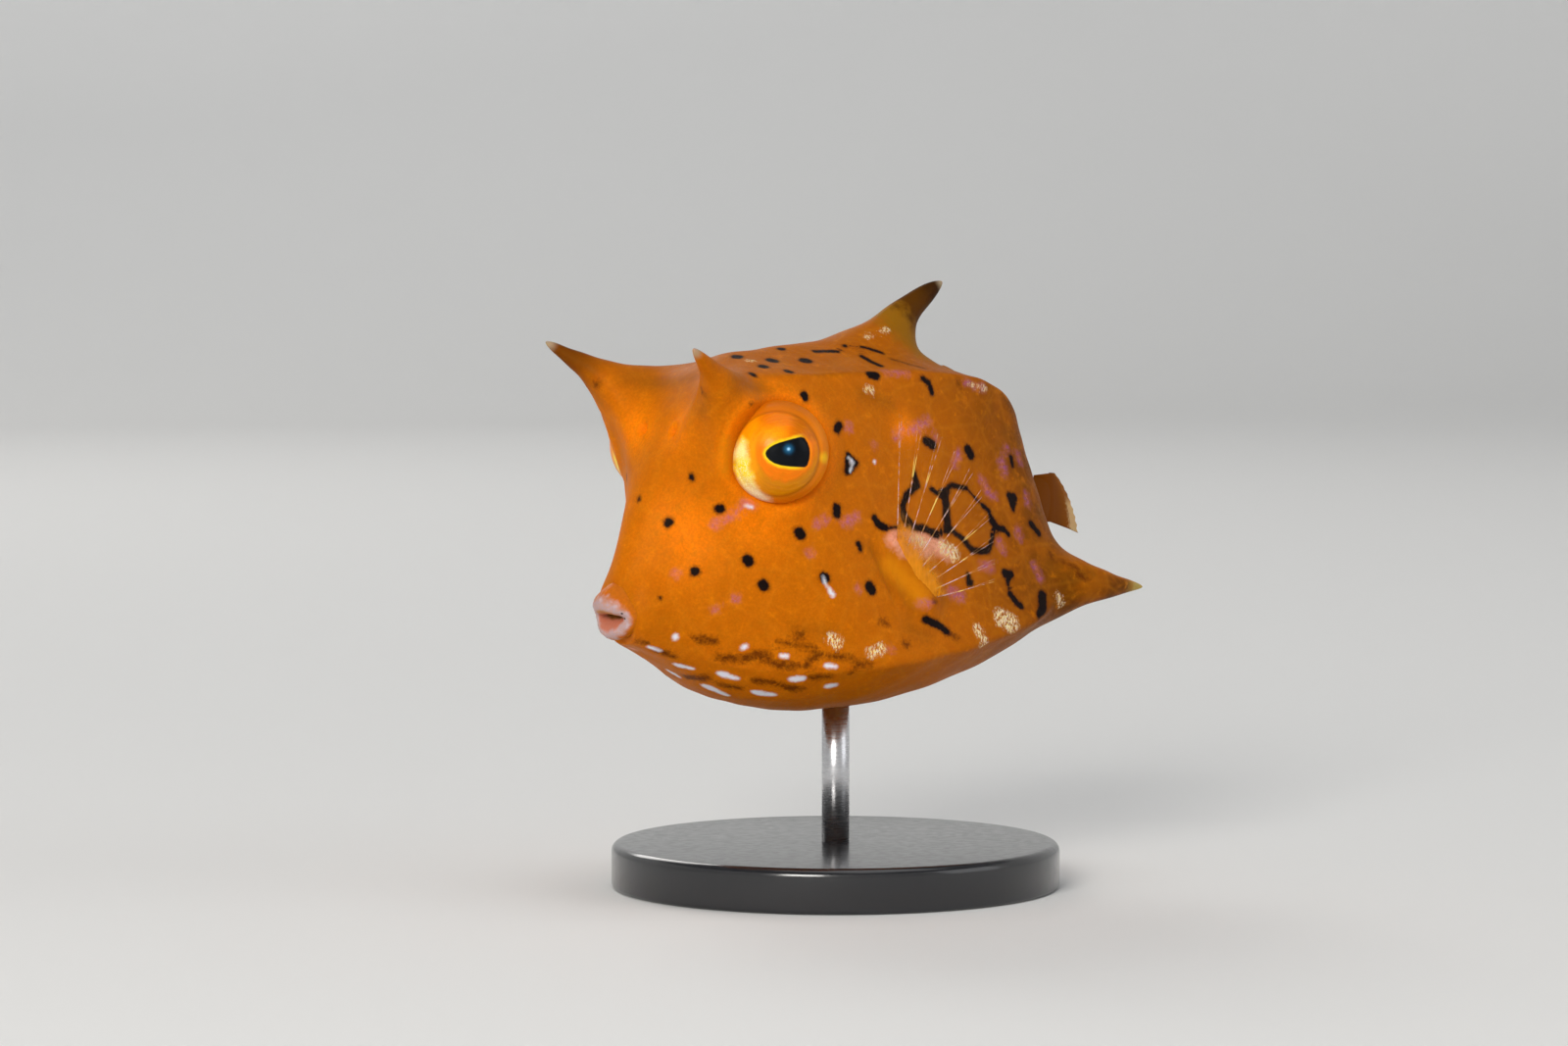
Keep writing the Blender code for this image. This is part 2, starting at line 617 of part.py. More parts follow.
def build_lips(group):
    """Thick lips round the slit of the mouth, parallel to the flat end of the snout."""
    facing = Vector(LIPS_FACING).normalized()
    turn = facing.to_track_quat("Z", "Y").to_matrix().to_4x4()
    seat = Matrix.Translation(Vector(LIPS_AT) + facing * GAP) @ turn
    across = seat.to_3x3().inverted() @ Vector((0, 1, 0))
    quarter = Matrix.Rotation(math.atan2(across.y, across.x), 4, "Z")
    rings = [ring_of(0.0, 0.0, 0.0, 1)]
    for half_width, half_height, rise in LIPS:
        fall = CORNER_FALL * rise
        rings.append(ring_of(half_width, half_height, rise, 24, fall))
    rings.append(ring_of(0.0, 0.0, MOUTH_DEPTH, 1))
    return body_of_rings("lips", rings, seat @ quarter, group)


def build_stand(group):
    """A round base and a rod, each end of which is held in a hole."""
    foot = BASE_THICK - ROD_HELD
    top = BASE_THICK + ROD_SHOWN + ROD_HELD
    drum("stand_rod", (0, 0, (foot + top) / 2), (0, 0, 1), ROD_RADIUS, (top - foot) / 2, group, 24)
    rim = BASE_RADIUS - BASE_EDGE
    hole = ROD_RADIUS + GAP
    profile = ((0.0, 0.0), (rim, 0.0), (BASE_RADIUS, BASE_EDGE),
               (BASE_RADIUS, BASE_THICK - BASE_EDGE), (rim, BASE_THICK), (hole, BASE_THICK),
               (hole, foot - GAP), (0.0, foot - GAP))
    rings = [ring_of(radius, radius, height, 48) for radius, height in profile]
    body_of_rings("stand_base", rings, Matrix.Identity(4), group)


def add_look(thing):
    """A material of its own for one piece."""
    key = next((k for k in LOOKS if k in thing.name), None)
    colour, roughness, metallic, alpha = LOOKS[key] if key else SKIN_LOOK
    stuff = bpy.data.materials.new(thing.name + "_surface")
    stuff.use_nodes = True
    shader = stuff.node_tree.nodes["Principled BSDF"]
    shader.inputs["Base Color"].default_value = (*colour, 1.0)
    shader.inputs["Roughness"].default_value = roughness
    shader.inputs["Metallic"].default_value = metallic
    shader.inputs["Alpha"].default_value = alpha
    stuff.diffuse_color = (*colour, alpha)
    thing.data.materials.clear()
    thing.data.materials.append(stuff)


def main():
    """Builds the fish and its stand."""
    remove_everything()
    fish = new_collection("cowfish_model")
    cutters = new_collection("cutters")
    cuts = new_collection("cuts")

    cage = mesh_object("cage", case_mesh(), cutters)
    smooth = cage.modifiers.new("round", "SUBSURF")
    smooth.levels = smooth.render_levels = ROUNDING
    rounded = bmesh.new()
    rounded.from_mesh(evaluated(cage))
    bmesh.ops.scale(rounded, vec=Vector((1.0, 1.0, 1.0)) / MM, verts=rounded.verts)
    raise_lids(rounded)
    case = mesh_object("case", rounded, cutters)
    fewer = case.modifiers.new("fewer faces", "DECIMATE")
    fewer.ratio = FACES_KEPT
    shape = bmesh.new()
    shape.from_mesh(evaluated(case))
    tree = BVHTree.FromBMesh(shape)
    shape.free()

    plans = fin_plans(tree)
    belly = skin_point(tree, (STAND_X, 0, -FAR), (0, 0, 1)).z
    add_parting_cuts(cuts)
    add_head_openings(tree, cuts)
    add_rod_hole(belly, cuts)
    for name, (roots, outward, _, _) in plans.items():
        seat_cutter(name + "_seat", roots, outward, cuts)
    parting = case.modifiers.new("cuts", "BOOLEAN")
    parting.operation = "DIFFERENCE"
    parting.operand_type = "COLLECTION"
    parting.collection = cuts
    parting.solver = "EXACT"

    pieces = part_by_cuts(evaluated(case), fish)
    for _, tag, eye in both_sides(EYE_CENTRE):
        pieces.append(ball("eye_" + tag, eye, EYE_RADIUS, 24, 12, fish))
    for name, plan in plans.items():
        pieces.append(mesh_object(name, fin_mesh(*plan), fish))
    pieces.append(mesh_object("caudal_fin", tail_fin_mesh(), fish))
    pieces.append(build_lips(fish))

    frame = bpy.data.objects.new("cowfish", None)
    fish.objects.link(frame)
    frame.location = Vector((-STAND_X, 0.0, BASE_THICK + ROD_SHOWN - belly)) * MM
    for piece in pieces:
        piece.parent = frame
    build_stand(fish)

    for thing in fish.objects:
        if thing.type == "MESH":
            add_look(thing)
    for group in (cutters, cuts):
        for thing in group.objects:
            thing.hide_render = True
            thing.display_type = "WIRE"


main()
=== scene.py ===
# %% [markdown]
# # A young thornback cowfish on a stand
#
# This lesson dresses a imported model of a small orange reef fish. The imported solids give
# every size and place; the cells below give the skin, eyes, fins and light. The first
# cell loads those solids. A scene starts from its frame because each piece that follows
# has to sit on a solid that is already there.

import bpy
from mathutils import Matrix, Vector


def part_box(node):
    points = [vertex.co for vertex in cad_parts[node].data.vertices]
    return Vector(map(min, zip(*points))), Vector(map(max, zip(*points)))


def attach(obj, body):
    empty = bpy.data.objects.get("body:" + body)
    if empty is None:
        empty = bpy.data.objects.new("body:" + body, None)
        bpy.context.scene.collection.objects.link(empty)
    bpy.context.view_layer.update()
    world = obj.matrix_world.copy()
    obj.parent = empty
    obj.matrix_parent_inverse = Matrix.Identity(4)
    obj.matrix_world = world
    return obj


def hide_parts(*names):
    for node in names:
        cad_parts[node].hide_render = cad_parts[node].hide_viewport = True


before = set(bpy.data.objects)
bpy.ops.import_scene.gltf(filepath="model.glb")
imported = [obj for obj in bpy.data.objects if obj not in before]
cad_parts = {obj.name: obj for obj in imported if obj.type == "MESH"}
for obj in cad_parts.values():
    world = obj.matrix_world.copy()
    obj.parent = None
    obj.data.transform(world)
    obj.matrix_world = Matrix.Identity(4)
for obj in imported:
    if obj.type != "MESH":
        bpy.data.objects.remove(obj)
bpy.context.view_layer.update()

# %% [markdown]
# ## The fish's own measure
#
# A fish of four centimetres is easier to think about in millimetres, from its own mouth:
# x runs back, y to its right and z up. The eye's solid is a ball, so the middle of its
# box is exact, and that one point ties the fish's measure to the scene's metres.

# %% Millimetres from the mouth
import math

import bmesh
import bpy
import numpy as np
from mathutils import Matrix, Vector
from mathutils.bvhtree import BVHTree

MM = 0.001
EYE_RADIUS = 2.9
EYE_CENTRE = Vector((9.6, 5.25, 9.3))
GAZE = Vector((-0.498, 0.864, 0.07)).normalized()   # way that the right eye looks


def mirrored(point):
    """The same point on the other side of the fish."""
    return Vector((point[0], -point[1], point[2]))


low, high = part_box("eye_left")
MOUTH = (low + high) / 2 - mirrored(EYE_CENTRE) * MM
print("mouth at", [round(x * 1000, 2) for x in MOUTH], "mm")

# %% [markdown]
# ## Camera
#
# The picture looks at the fish's left cheek from ahead and a little above, from far
# enough away that near and far parts keep nearly the same scale. A long lens at a third
# of a metre does the same. The aim is the point of the fish that lies in the middle of
# the picture, so no shift is needed.

# %% Camera
PICTURE = (1600, 1067)
AZIMUTH, ELEVATION = math.radians(-40), math.radians(4)
AIM = Vector((14.5, 0.0, 4.8))
DISTANCE = 350.0
LENS, SENSOR, NEAREST = 140.0, 36.0, 0.01      # NEAREST in metres
to_camera = Vector((math.sin(AZIMUTH) * math.cos(ELEVATION),
                    -math.cos(AZIMUTH) * math.cos(ELEVATION), math.sin(ELEVATION)))
camera_right = Vector((math.cos(AZIMUTH), math.sin(AZIMUTH), 0.0))
camera_up = to_camera.cross(camera_right)

lens = bpy.data.cameras.new("camera")
lens.lens, lens.sensor_width, lens.clip_start = LENS, SENSOR, NEAREST
camera = bpy.data.objects.new("camera", lens)
bpy.context.scene.collection.objects.link(camera)
camera.location = MOUTH + (AIM + to_camera * DISTANCE) * MM
camera.rotation_euler = to_camera.to_track_quat("Z", "Y").to_euler()
bpy.context.scene.camera = camera
print("camera", round(camera.location.z * 1000, 1), "mm above the floor")

# %% [markdown]
# Marks on the skin are read off the picture, in its pixels. Two small helpers carry them
# over: one gives the line of sight through a pixel, the other the pixel of a point. A
# pixel is 0.0563 mm wide where the camera aims.

# %% From picture to fish and back
FOCAL = LENS / SENSOR * PICTURE[0]
PIXEL = DISTANCE / FOCAL
eye_point = AIM + to_camera * DISTANCE


def sight(x, y):
    """The way from the camera through a pixel, in the fish's measure."""
    across, up = x - PICTURE[0] / 2, PICTURE[1] / 2 - y
    return (camera_right * across + camera_up * up - to_camera * FOCAL).normalized()


def pixels_of(points):
    """The pixels at which an array of points in the fish's measure is seen."""
    away = points - np.array(eye_point)
    depth = -(away @ np.array(to_camera))
    x = PICTURE[0] / 2 + away @ np.array(camera_right) / depth * FOCAL
    y = PICTURE[1] / 2 - away @ np.array(camera_up) / depth * FOCAL
    return np.stack([x, y], 1)


print("one pixel is", round(PIXEL, 4), "mm")

# %% [markdown]
# ## Floor
#
# The model stands in a studio. A floor that turns up into a wall all the way round has
# no horizon in any view. It could be a bent sheet behind the fish, but that has edges when
# the camera moves, so it is one profile spun about the upright axis. The two helpers that
# make rings and the faces between them serve the eyes, the lips and the stand too.

# %% Floor
FLOOR_FLAT, FLOOR_CURVE, WALL = 0.5, 0.5, 0.8      # metres
FLOOR_BENDS, FLOOR_SIDES = 13, 96
VIEW_COLOURS = "Standard"


def add_object(name, mesh):
    """An object for a mesh, linked to the scene."""
    thing = bpy.data.objects.new(name, mesh)
    bpy.context.scene.collection.objects.link(thing)
    return thing


def ring_of(bm, place, sides, pole):
    """A ring of vertices, or one at a pole. place gives the point at a turn."""
    return [bm.verts.new(place(math.tau * j / sides)) for j in range(1 if pole else sides)]


def join_rings(bm, rings, sides):
    """Faces between rings of vertices, of which any may be a single point."""
    for near, far in zip(rings, rings[1:]):
        for j in range(sides):
            k = (j + 1) % sides
            corners = [near[j % len(near)], near[k % len(near)],
                       far[k % len(far)], far[j % len(far)]]
            bm.faces.new(list(dict.fromkeys(corners)))


def spun(profile, sides):
    """A bmesh swept round the upright axis from (radius, height) points."""
    bm = bmesh.new()
    rings = []
    for radius, height in profile:
        def place(turn):
            return Vector((radius * math.cos(turn), radius * math.sin(turn), height))
        rings.append(ring_of(bm, place, sides, radius == 0))
    join_rings(bm, rings, sides)
    return bm


def shaded(mesh):
    """Smooth shading on every face."""
    mesh.polygons.foreach_set("use_smooth", [True] * len(mesh.polygons))
    return mesh


def mesh_of(name, bm):
    """A smooth mesh from a bmesh."""
    mesh = bpy.data.meshes.new(name)
    bm.to_mesh(mesh)
    bm.free()
    return shaded(mesh)


curve = [(FLOOR_FLAT + FLOOR_CURVE * math.sin(a), FLOOR_CURVE * (1 - math.cos(a)))
         for a in np.linspace(0, math.pi / 2, FLOOR_BENDS)]
floor_bm = spun([(0, 0)] + curve + [(FLOOR_FLAT + FLOOR_CURVE, WALL)], FLOOR_SIDES)
bmesh.ops.reverse_faces(floor_bm, faces=floor_bm.faces)
floor = add_object("floor", mesh_of("floor", floor_bm))
bpy.context.scene.view_settings.view_transform = VIEW_COLOURS
print("floor", round(2 * (FLOOR_FLAT + FLOOR_CURVE), 2), "m across")

# %% [markdown]
# Every material below is a tree of nodes. A helper adds one node, sets its sockets by
# name and takes either a number or another node's output, so that a tree reads as a list.
# A colour is built up as a painter would, in layers: each has a share between 0 and 1.

# %% Node helpers
def node(tree, kind, inputs=None, out=0, **settings):
    """Adds a node, sets or links its inputs, and gives one of its outputs."""
    made = tree.nodes.new(kind)
    for key, value in settings.items():
        setattr(made, key, value)
    for key, value in (inputs or {}).items():
        socket = made.inputs[key]
        if isinstance(value, bpy.types.NodeSocket):
            tree.links.new(value, socket)
        else:
            socket.default_value = value
    return made.outputs[out]


def new_material(name):
    """A material with an empty tree."""
    stuff = bpy.data.materials.new(name)
    stuff.use_nodes = True
    stuff.node_tree.nodes.clear()
    return stuff, stuff.node_tree


def close_material(tree, inputs):
    """Ends a tree in the main shader, with some of its inputs given."""
    shader = node(tree, "ShaderNodeBsdfPrincipled", inputs)
    made = tree.nodes.new("ShaderNodeOutputMaterial")
    tree.links.new(shader, made.inputs["Surface"])


def math_node(tree, what, *values):
    """The result of one sum on numbers and outputs."""
    return node(tree, "ShaderNodeMath", dict(enumerate(values)), operation=what)


def times(tree, first, second):
    """A product."""
    return math_node(tree, "MULTIPLY", first, second)


def scaled(tree, value, factor, extra):
    """A value times a factor, plus something."""
    return math_node(tree, "MULTIPLY_ADD", value, factor, extra)


def blend(tree, share, first, second):
    """A colour between two colours."""
    made = tree.nodes.new("ShaderNodeMix")
    made.data_type = "RGBA"
    for key, value in ((0, share), (6, first), (7, second)):
        if isinstance(value, bpy.types.NodeSocket):
            tree.links.new(value, made.inputs[key])
        elif key:
            made.inputs[key].default_value = (*value, 1.0)
        else:
            made.inputs[key].default_value = value
    return made.outputs[2]


def layered(tree, colour, *layers):
    """Lays colours over a first one, each with its share."""
    for share, over in layers:
        colour = blend(tree, share, colour, over)
    return colour


def ramp(tree, value, start, end, low=0.0, high=1.0):
    """A smooth step of a value, from low at start to high at end."""
    return node(tree, "ShaderNodeMapRange",
                {"Value": value, "From Min": start, "From Max": end,
                 "To Min": low, "To Max": high},
                interpolation_type="SMOOTHSTEP")


print("helpers for node trees are ready")

# %% [markdown]
# The next helpers say where a shader is on the fish. A pattern that hangs on the object's
# own coordinates stays put when the fish moves and needs no unwrapping. Numbers that only
# Python can work out, such as the distance to a spot, are stored on the mesh and read back.

# %% Places, fields, noise and bumps
def field(tree, name):
    """A number that is stored on the mesh's vertices."""
    return node(tree, "ShaderNodeAttribute", out="Fac", attribute_name=name)


def fish_place(tree):
    """Object coordinates, turned into millimetres from the mouth."""
    place = node(tree, "ShaderNodeTexCoord", out="Object")
    moved = node(tree, "ShaderNodeVectorMath", {0: place, 1: MOUTH}, operation="SUBTRACT")
    return node(tree, "ShaderNodeVectorMath", {0: moved, "Scale": 1 / MM}, operation="SCALE")


def axes_of(tree, place):
    """The three coordinates of a place."""
    made = tree.nodes.new("ShaderNodeSeparateXYZ")
    tree.links.new(place, made.inputs[0])
    return tuple(made.outputs)


def noise(tree, place, scale, detail=2.0, roughness=0.5):
    """Soft noise with so many waves to a millimetre."""
    return node(tree, "ShaderNodeTexNoise", out="Fac",
                inputs={"Vector": place, "Scale": scale, "Detail": detail,
                        "Roughness": roughness})


def stretched(tree, place, *scale):
    """A place with its three coordinates scaled, for streaks."""
    return node(tree, "ShaderNodeMapping", {"Vector": place, "Scale": scale})


def bumped(tree, height, depth, strength):
    """A normal from a height between 0 and 1 and its depth in millimetres."""
    return node(tree, "ShaderNodeBump",
                {"Height": height, "Distance": depth * MM, "Strength": strength})


PAPER = (0.80, 0.80, 0.79, 1.0)
stuff, tree = new_material("floor_paper")
close_material(tree, {"Base Color": PAPER, "Roughness": 0.9, "Specular IOR Level": 0.1})
floor.data.materials.append(stuff)
print("floor:", stuff.name)

# %% [markdown]
# ## Light
#
# The light in the picture comes from the front left, so that the cheek glows and the rear
# falls off. One hard lamp there would do that too, but with black shadows. So a large soft
# lamp stands there, a weaker one opens the shadows and one behind draws the edges of the
# fins. A ring of lamps that look outwards keeps the wall as pale as the floor.

# %% Lamps
WHITE = (1.0, 1.0, 1.0)
LAMPS = (
    # name, azimuth, height and distance in metres, size, power, colour
    ("key", -58, 0.22, 0.48, 0.18, 1.66, (1.0, 0.97, 0.92)),
    ("fill", 35, 0.25, 0.60, 0.40, 0.5, (0.95, 0.97, 1.0)),
    ("top", 10, 0.60, 0.10, 0.45, 0.7, WHITE),
    ("edge", 165, 0.35, 0.45, 0.25, 0.7, (1.0, 0.98, 0.95)),
)
WALL_LAMPS = 6
WALL_LAMP = (0.42, 0.5, 0.3, 0.75, WHITE)      # height, distance, size, power, colour
SKY_COLOUR, SKY_STRENGTH = (0.9, 0.93, 1.0, 1.0), 0.17


def add_lamp(name, azimuth, height, distance, size, power, colour, outward=False):
    """A square soft lamp that looks at the middle of the fish, or from there to the wall."""
    lamp = bpy.data.lights.new(name, "AREA")
    lamp.size, lamp.energy, lamp.color = size, power, colour
    thing = bpy.data.objects.new(name, lamp)
    turn = math.radians(azimuth)
    thing.location = (math.sin(turn) * distance, -math.cos(turn) * distance, height)
    back = thing.location - (MOUTH + AIM * MM)
    if outward:
        back = Vector((-back.x, -back.y, 0.0))
    thing.rotation_euler = back.to_track_quat("Z", "Y").to_euler()
    bpy.context.scene.collection.objects.link(thing)


for lamp in LAMPS:
    add_lamp(*lamp)
for i in range(WALL_LAMPS):
    add_lamp("wall_" + str(i + 1), 360 * (i + 0.5) / WALL_LAMPS, *WALL_LAMP, outward=True)
sky = bpy.data.worlds.new("sky")
sky.use_nodes = True
background = sky.node_tree.nodes["Background"]
background.inputs["Color"].default_value = SKY_COLOUR
background.inputs["Strength"].default_value = SKY_STRENGTH
bpy.context.scene.world = sky
print("lamps:", len(LAMPS) + WALL_LAMPS)

# %% [markdown]
# ## The case of the body
#
# A cowfish wears a hard box of fused plates under its skin. Its form is held by four
# lines: back, shoulder, keel and belly. A cage of rings through those lines, rounded by
# subdivision, gives flat sides, soft edges and one skin without seams. The horns, the
# back thorn and the hip spines are drawn out of the cage, so that they grow from the
# skin. The numbers are those of the solids, in millimetres from the mouth.

# %% The four lines
BACK = ((1.95, 1.5), (2.15, 2.9), (3.1, 5.6), (4.4, 8.8), (6.1, 12.1), (8.3, 14.5), (12.1, 15.0),
        (16.9, 15.3), (21.9, 15.15), (26.2, 13.2), (28.7, 12.1), (29.9, 9.4), (30.4, 8.0),
        (30.8, 6.9), (32.4, 6.8), (33.6, 6.7), (34.9, 6.6))
SHOULDER = ((2.1, 1.1, 1.0), (2.9, 1.5, 2.4), (4.8, 2.3, 5.5), (5.9, 3.4, 9.3), (6.5, 4.7, 12.8),
            (9.0, 4.7, 13.6), (12.7, 4.6, 13.5), (17.2, 4.6, 13.5), (21.7, 4.55, 13.5),
            (25.9, 4.4, 13.0), (28.7, 4.0, 11.8), (30.1, 2.9, 8.9), (30.6, 1.9, 7.2),
            (30.8, 1.0, 6.3), (32.4, 1.0, 6.2), (33.6, 0.95, 6.15), (34.9, 0.8, 6.1))
KEEL = ((2.75, 1.1, -1.0), (3.3, 1.4, -1.5), (5.5, 2.3, -2.2), (7.9, 4.0, -2.9), (10.3, 6.1, -3.1),
        (12.7, 7.7, -3.05), (15.4, 8.5, -2.9), (18.6, 8.6, -2.6), (22.2, 8.5, -2.1),
        (25.9, 8.2, -1.3), (28.9, 7.8, -0.4), (31.1, 6.7, 0.6), (31.4, 3.7, 2.3),
        (31.1, 1.3, 4.4), (32.6, 1.0, 4.5), (33.7, 0.95, 4.5), (34.9, 0.8, 4.55))
BELLY = ((2.9, -1.5), (3.8, -1.8), (6.0, -3.0), (8.1, -4.45), (10.4, -5.4), (12.7, -5.9),
         (15.5, -6.15), (18.9, -6.0), (22.5, -5.45), (25.9, -4.4), (29.2, -3.1), (31.3, -1.2),
         (31.7, 1.1), (31.3, 3.7), (32.7, 3.85), (33.8, 3.9), (34.9, 4.0))
SIDE_SWELL = ((0.25, 0.35, 0.25), (0.5, 0.7, 0.5), (0.6, 1.3, 1.0), (0.5, 1.4, 1.3),
              (-1.3, 0.1, 0.8), (-0.4, 0.5, 0.6), (0.5, 0.4, 0.3), (0.1, 0.0, 0.0),
              (-0.2, -0.3, -0.2), (-0.3, -0.4, -0.3), (-0.2, -0.3, -0.2), (0.2, 0.2, 0.2),
              (0.2, 0.3, 0.2))
BELLY_FULLNESS = 1.7
ROOF_START = 0.25        # the roof's front edge bows forward between its corners
SIDE_STEPS, BELLY_STEPS = 4, 3


def half_ring(i):
    """The points of ring i down the right side, from the back line to the belly line."""
    back = Vector((BACK[i][0], 0.0, BACK[i][1]))
    belly = Vector((BELLY[i][0], 0.0, BELLY[i][1]))
    shoulder, keel = Vector(SHOULDER[i]), Vector(KEEL[i])
    roof = back.lerp(shoulder, 0.5)
    roof.x = back.x + (shoulder.x - back.x) * ROOF_START
    swell = SIDE_SWELL[min(i, len(SIDE_SWELL) - 1)]
    points = [back, roof, shoulder]
    for k in range(1, SIDE_STEPS):
        point = shoulder.lerp(keel, k / SIDE_STEPS)
        point.y += swell[k - 1]
        points.append(point)
    points.append(keel)
    for k in range(1, BELLY_STEPS):
        share = k / BELLY_STEPS
        width = 1 - share
        drop = (1 - width ** BELLY_FULLNESS) ** (1 / BELLY_FULLNESS)
        x = keel.x + (belly.x - keel.x) * share
        points.append(Vector((x, keel.y * width, keel.z + (belly.z - keel.z) * drop)))
    points.append(belly)
    return points


print("rings:", len(BACK), "points round:", 2 * len(half_ring(0)) - 2)

# %% [markdown]
# A spine could be a cone pushed into the body, with a hard seam. Here each one takes the
# place of the four faces round one point of the cage: rings of points follow a short path
# to a tip, and each ring is turned so that its points meet those of the ring before.

# %% Spines drawn out of the cage
HORN = (((5.75, 5.0, 13.0), 1.45, 1.45), ((4.6, 5.65, 13.9), 0.78, 0.78),
        ((3.45, 6.2, 14.6), 0.42, 0.42))
HORN_TIP = (2.42, 6.64, 15.3)
THORN = (((22.7, 0.0, 15.1), 2.1, 1.35), ((23.2, 0.0, 16.25), 1.35, 0.85),
         ((24.3, 0.0, 17.2), 0.9, 0.55))
THORN_TIP = (26.6, 0.0, 18.4)
HIP = (((31.4, 7.3, 0.85), 1.3, 1.2), ((33.2, 7.4, 0.72), 0.8, 0.75),
       ((34.4, 7.45, 0.62), 0.48, 0.48))
HIP_TIP = (35.7, 7.5, 0.5)
TIP_STRETCH = 2.25     # subdivision draws a cage's point in to 4/9 of its length


def rim_round(centre):
    """The vertices round the four-sided faces that meet at one vertex, in order."""
    order, loop = [], centre.link_loops[0]
    for _ in centre.link_faces:
        after = loop.link_loop_next
        order += [after.vert, after.link_loop_next.vert]
        loop = loop.link_loop_prev.link_loop_radial_next
    return order


def spine_ring(bm, before, rim, centre, axis, half_length, half_width):
    """One section of a spine, turned so that its points follow those of the rim before it."""
    side = axis.cross(Vector((0, 1, 0))).normalized()
    across = axis.cross(side)
    count = len(rim)
    turns = []
    for j, v in enumerate(rim):
        out = v.co - before
        turns.append(math.atan2(out.dot(across), out.dot(side)) - math.tau * j / count)
    phase = math.atan2(sum(map(math.sin, turns)), sum(map(math.cos, turns)))
    ring = []
    for j in range(count):
        turn = phase + math.tau * j / count
        arm = side * half_length * math.cos(turn) + across * half_width * math.sin(turn)
        ring.append(bm.verts.new(centre + arm))
    return ring


def draw_out(bm, centre, sections, tip):
    """Replaces the four faces round the vertex centre by a tapering spine."""
    rim = rim_round(centre)
    bm.verts.remove(centre)
    middle = sum((v.co for v in rim), Vector()) / len(rim)
    path = [middle] + [Vector(c) for c, _, _ in sections] + [Vector(tip)]
    count = len(rim)
    for k, (_, half_length, half_width) in enumerate(sections):
        axis = (path[k + 2] - path[k]).normalized()
        ring = spine_ring(bm, path[k], rim, path[k + 1], axis, half_length, half_width)
        for j in range(count):
            m = (j + 1) % count
            bm.faces.new((rim[j], rim[m], ring[m], ring[j]))
        rim = ring
    point = bm.verts.new(path[-2] + (path[-1] - path[-2]) * TIP_STRETCH)
    for j in range(1, count, 2):
        bm.faces.new((rim[j - 1], rim[j], rim[(j + 1) % count], point))


print("spines: 2 horns, 1 thorn, 2 hip spines")

# %% [markdown]
# The tail stem is soft and comes out of an opening in the hard case, so it is a piece of
# its own. The case's cage therefore ends in a ring that turns inwards at that opening,
# and the stem starts inside it.

# %% The cage
HORN_RING, THORN_RING, HIP_RING = 4, 8, 11
KEEL_START, RIDGE_END, STEM_RING = 2, 12, 13
SHOULDER_COLUMN = 2
KEEL_COLUMN = SHOULDER_COLUMN + SIDE_STEPS
BACK_CREASE, SHOULDER_CREASE, KEEL_CREASE = 0.3, 0.75, 0.6
OPENING_DEPTH, OPENING_SHARE = 0.9, 0.74      # how the last ring turns inwards


def full_ring(points):
    """Both sides of a half ring."""
    return points + [mirrored(p) for p in reversed(points[1:-1])]


def loft(bm, rings):
    """Quads between rings of vertices, and a face at each end."""
    around = len(rings[0])
    for near, far in zip(rings, rings[1:]):
        for j in range(around):
            k = (j + 1) % around
            bm.faces.new((near[j], far[j], far[k], near[k]))
    bm.faces.new(rings[0])
    bm.faces.new(reversed(rings[-1]))


def case_cage():
    """The cage of the case with its five spines, in millimetres."""
    bm = bmesh.new()
    crease = bm.edges.layers.float.new("crease_edge")
    lines = [full_ring(half_ring(i)) for i in range(STEM_RING + 1)]
    last = lines[-1]
    middle = sum(last, Vector()) / len(last)
    lines.append([middle + (p - middle) * OPENING_SHARE - Vector((OPENING_DEPTH, 0, 0))
                  for p in last])
    rings = [[bm.verts.new(p) for p in line] for line in lines]
    around = len(rings[0])
    loft(bm, rings)
    for j in range(around):
        bm.edges.get((rings[0][j], rings[0][(j + 1) % around]))[crease] = 1.0
    for column, first, sharpness in ((0, HORN_RING, BACK_CREASE),
                                     (SHOULDER_COLUMN, HORN_RING, SHOULDER_CREASE),
                                     (KEEL_COLUMN, KEEL_START, KEEL_CREASE)):
        for j in {column, (around - column) % around}:
            for i in range(first, RIDGE_END):
                bm.edges.get((rings[i][j], rings[i + 1][j]))[crease] = sharpness
    draw_out(bm, rings[THORN_RING][0], THORN, THORN_TIP)
    for column, ring, sections, tip in ((SHOULDER_COLUMN, HORN_RING, HORN, HORN_TIP),
                                        (KEEL_COLUMN, HIP_RING, HIP, HIP_TIP)):
        draw_out(bm, rings[ring][column], sections, tip)
        left = [(mirrored(c), a, b) for c, a, b in sections]
        draw_out(bm, rings[ring][around - column], left, mirrored(tip))
    bmesh.ops.recalc_face_normals(bm, faces=bm.faces)
    return bm


def applied(thing, name):
    """A plain mesh of an object with its modifiers, which takes the object's place."""
    bpy.context.view_layer.update()
    graph = bpy.context.evaluated_depsgraph_get()
    mesh = bpy.data.meshes.new_from_object(thing.evaluated_get(graph), depsgraph=graph)
    mesh.name = name
    bpy.data.objects.remove(thing)
    return shaded(mesh)


def rounded(name, bm, levels):
    """A bmesh in millimetres, rounded by subdivision and applied to a plain mesh."""
    cage = add_object(name + "_cage", mesh_of(name, bm))
    smooth = cage.modifiers.new("round", "SUBSURF")
    smooth.levels = smooth.render_levels = levels
    return applied(cage, name)


SKIN_LEVELS = 4
skin_mesh = rounded("skin", case_cage(), SKIN_LEVELS)
print("skin:", len(skin_mesh.vertices), "points,", len(skin_mesh.polygons) * 2, "triangles")

# %% [markdown]
# ## Folds, lids and openings
#
# Subdivision leaves a surface that is too clean. The real skin rises in a soft lid round
# each eye with finer folds outside it, dips at the two nostrils and at the gill slit, and
# is nowhere quite flat. Sculpting would do, but not twice the same. These are moves of the
# vertices, added up as smooth bumps of the distance to a point or a line.

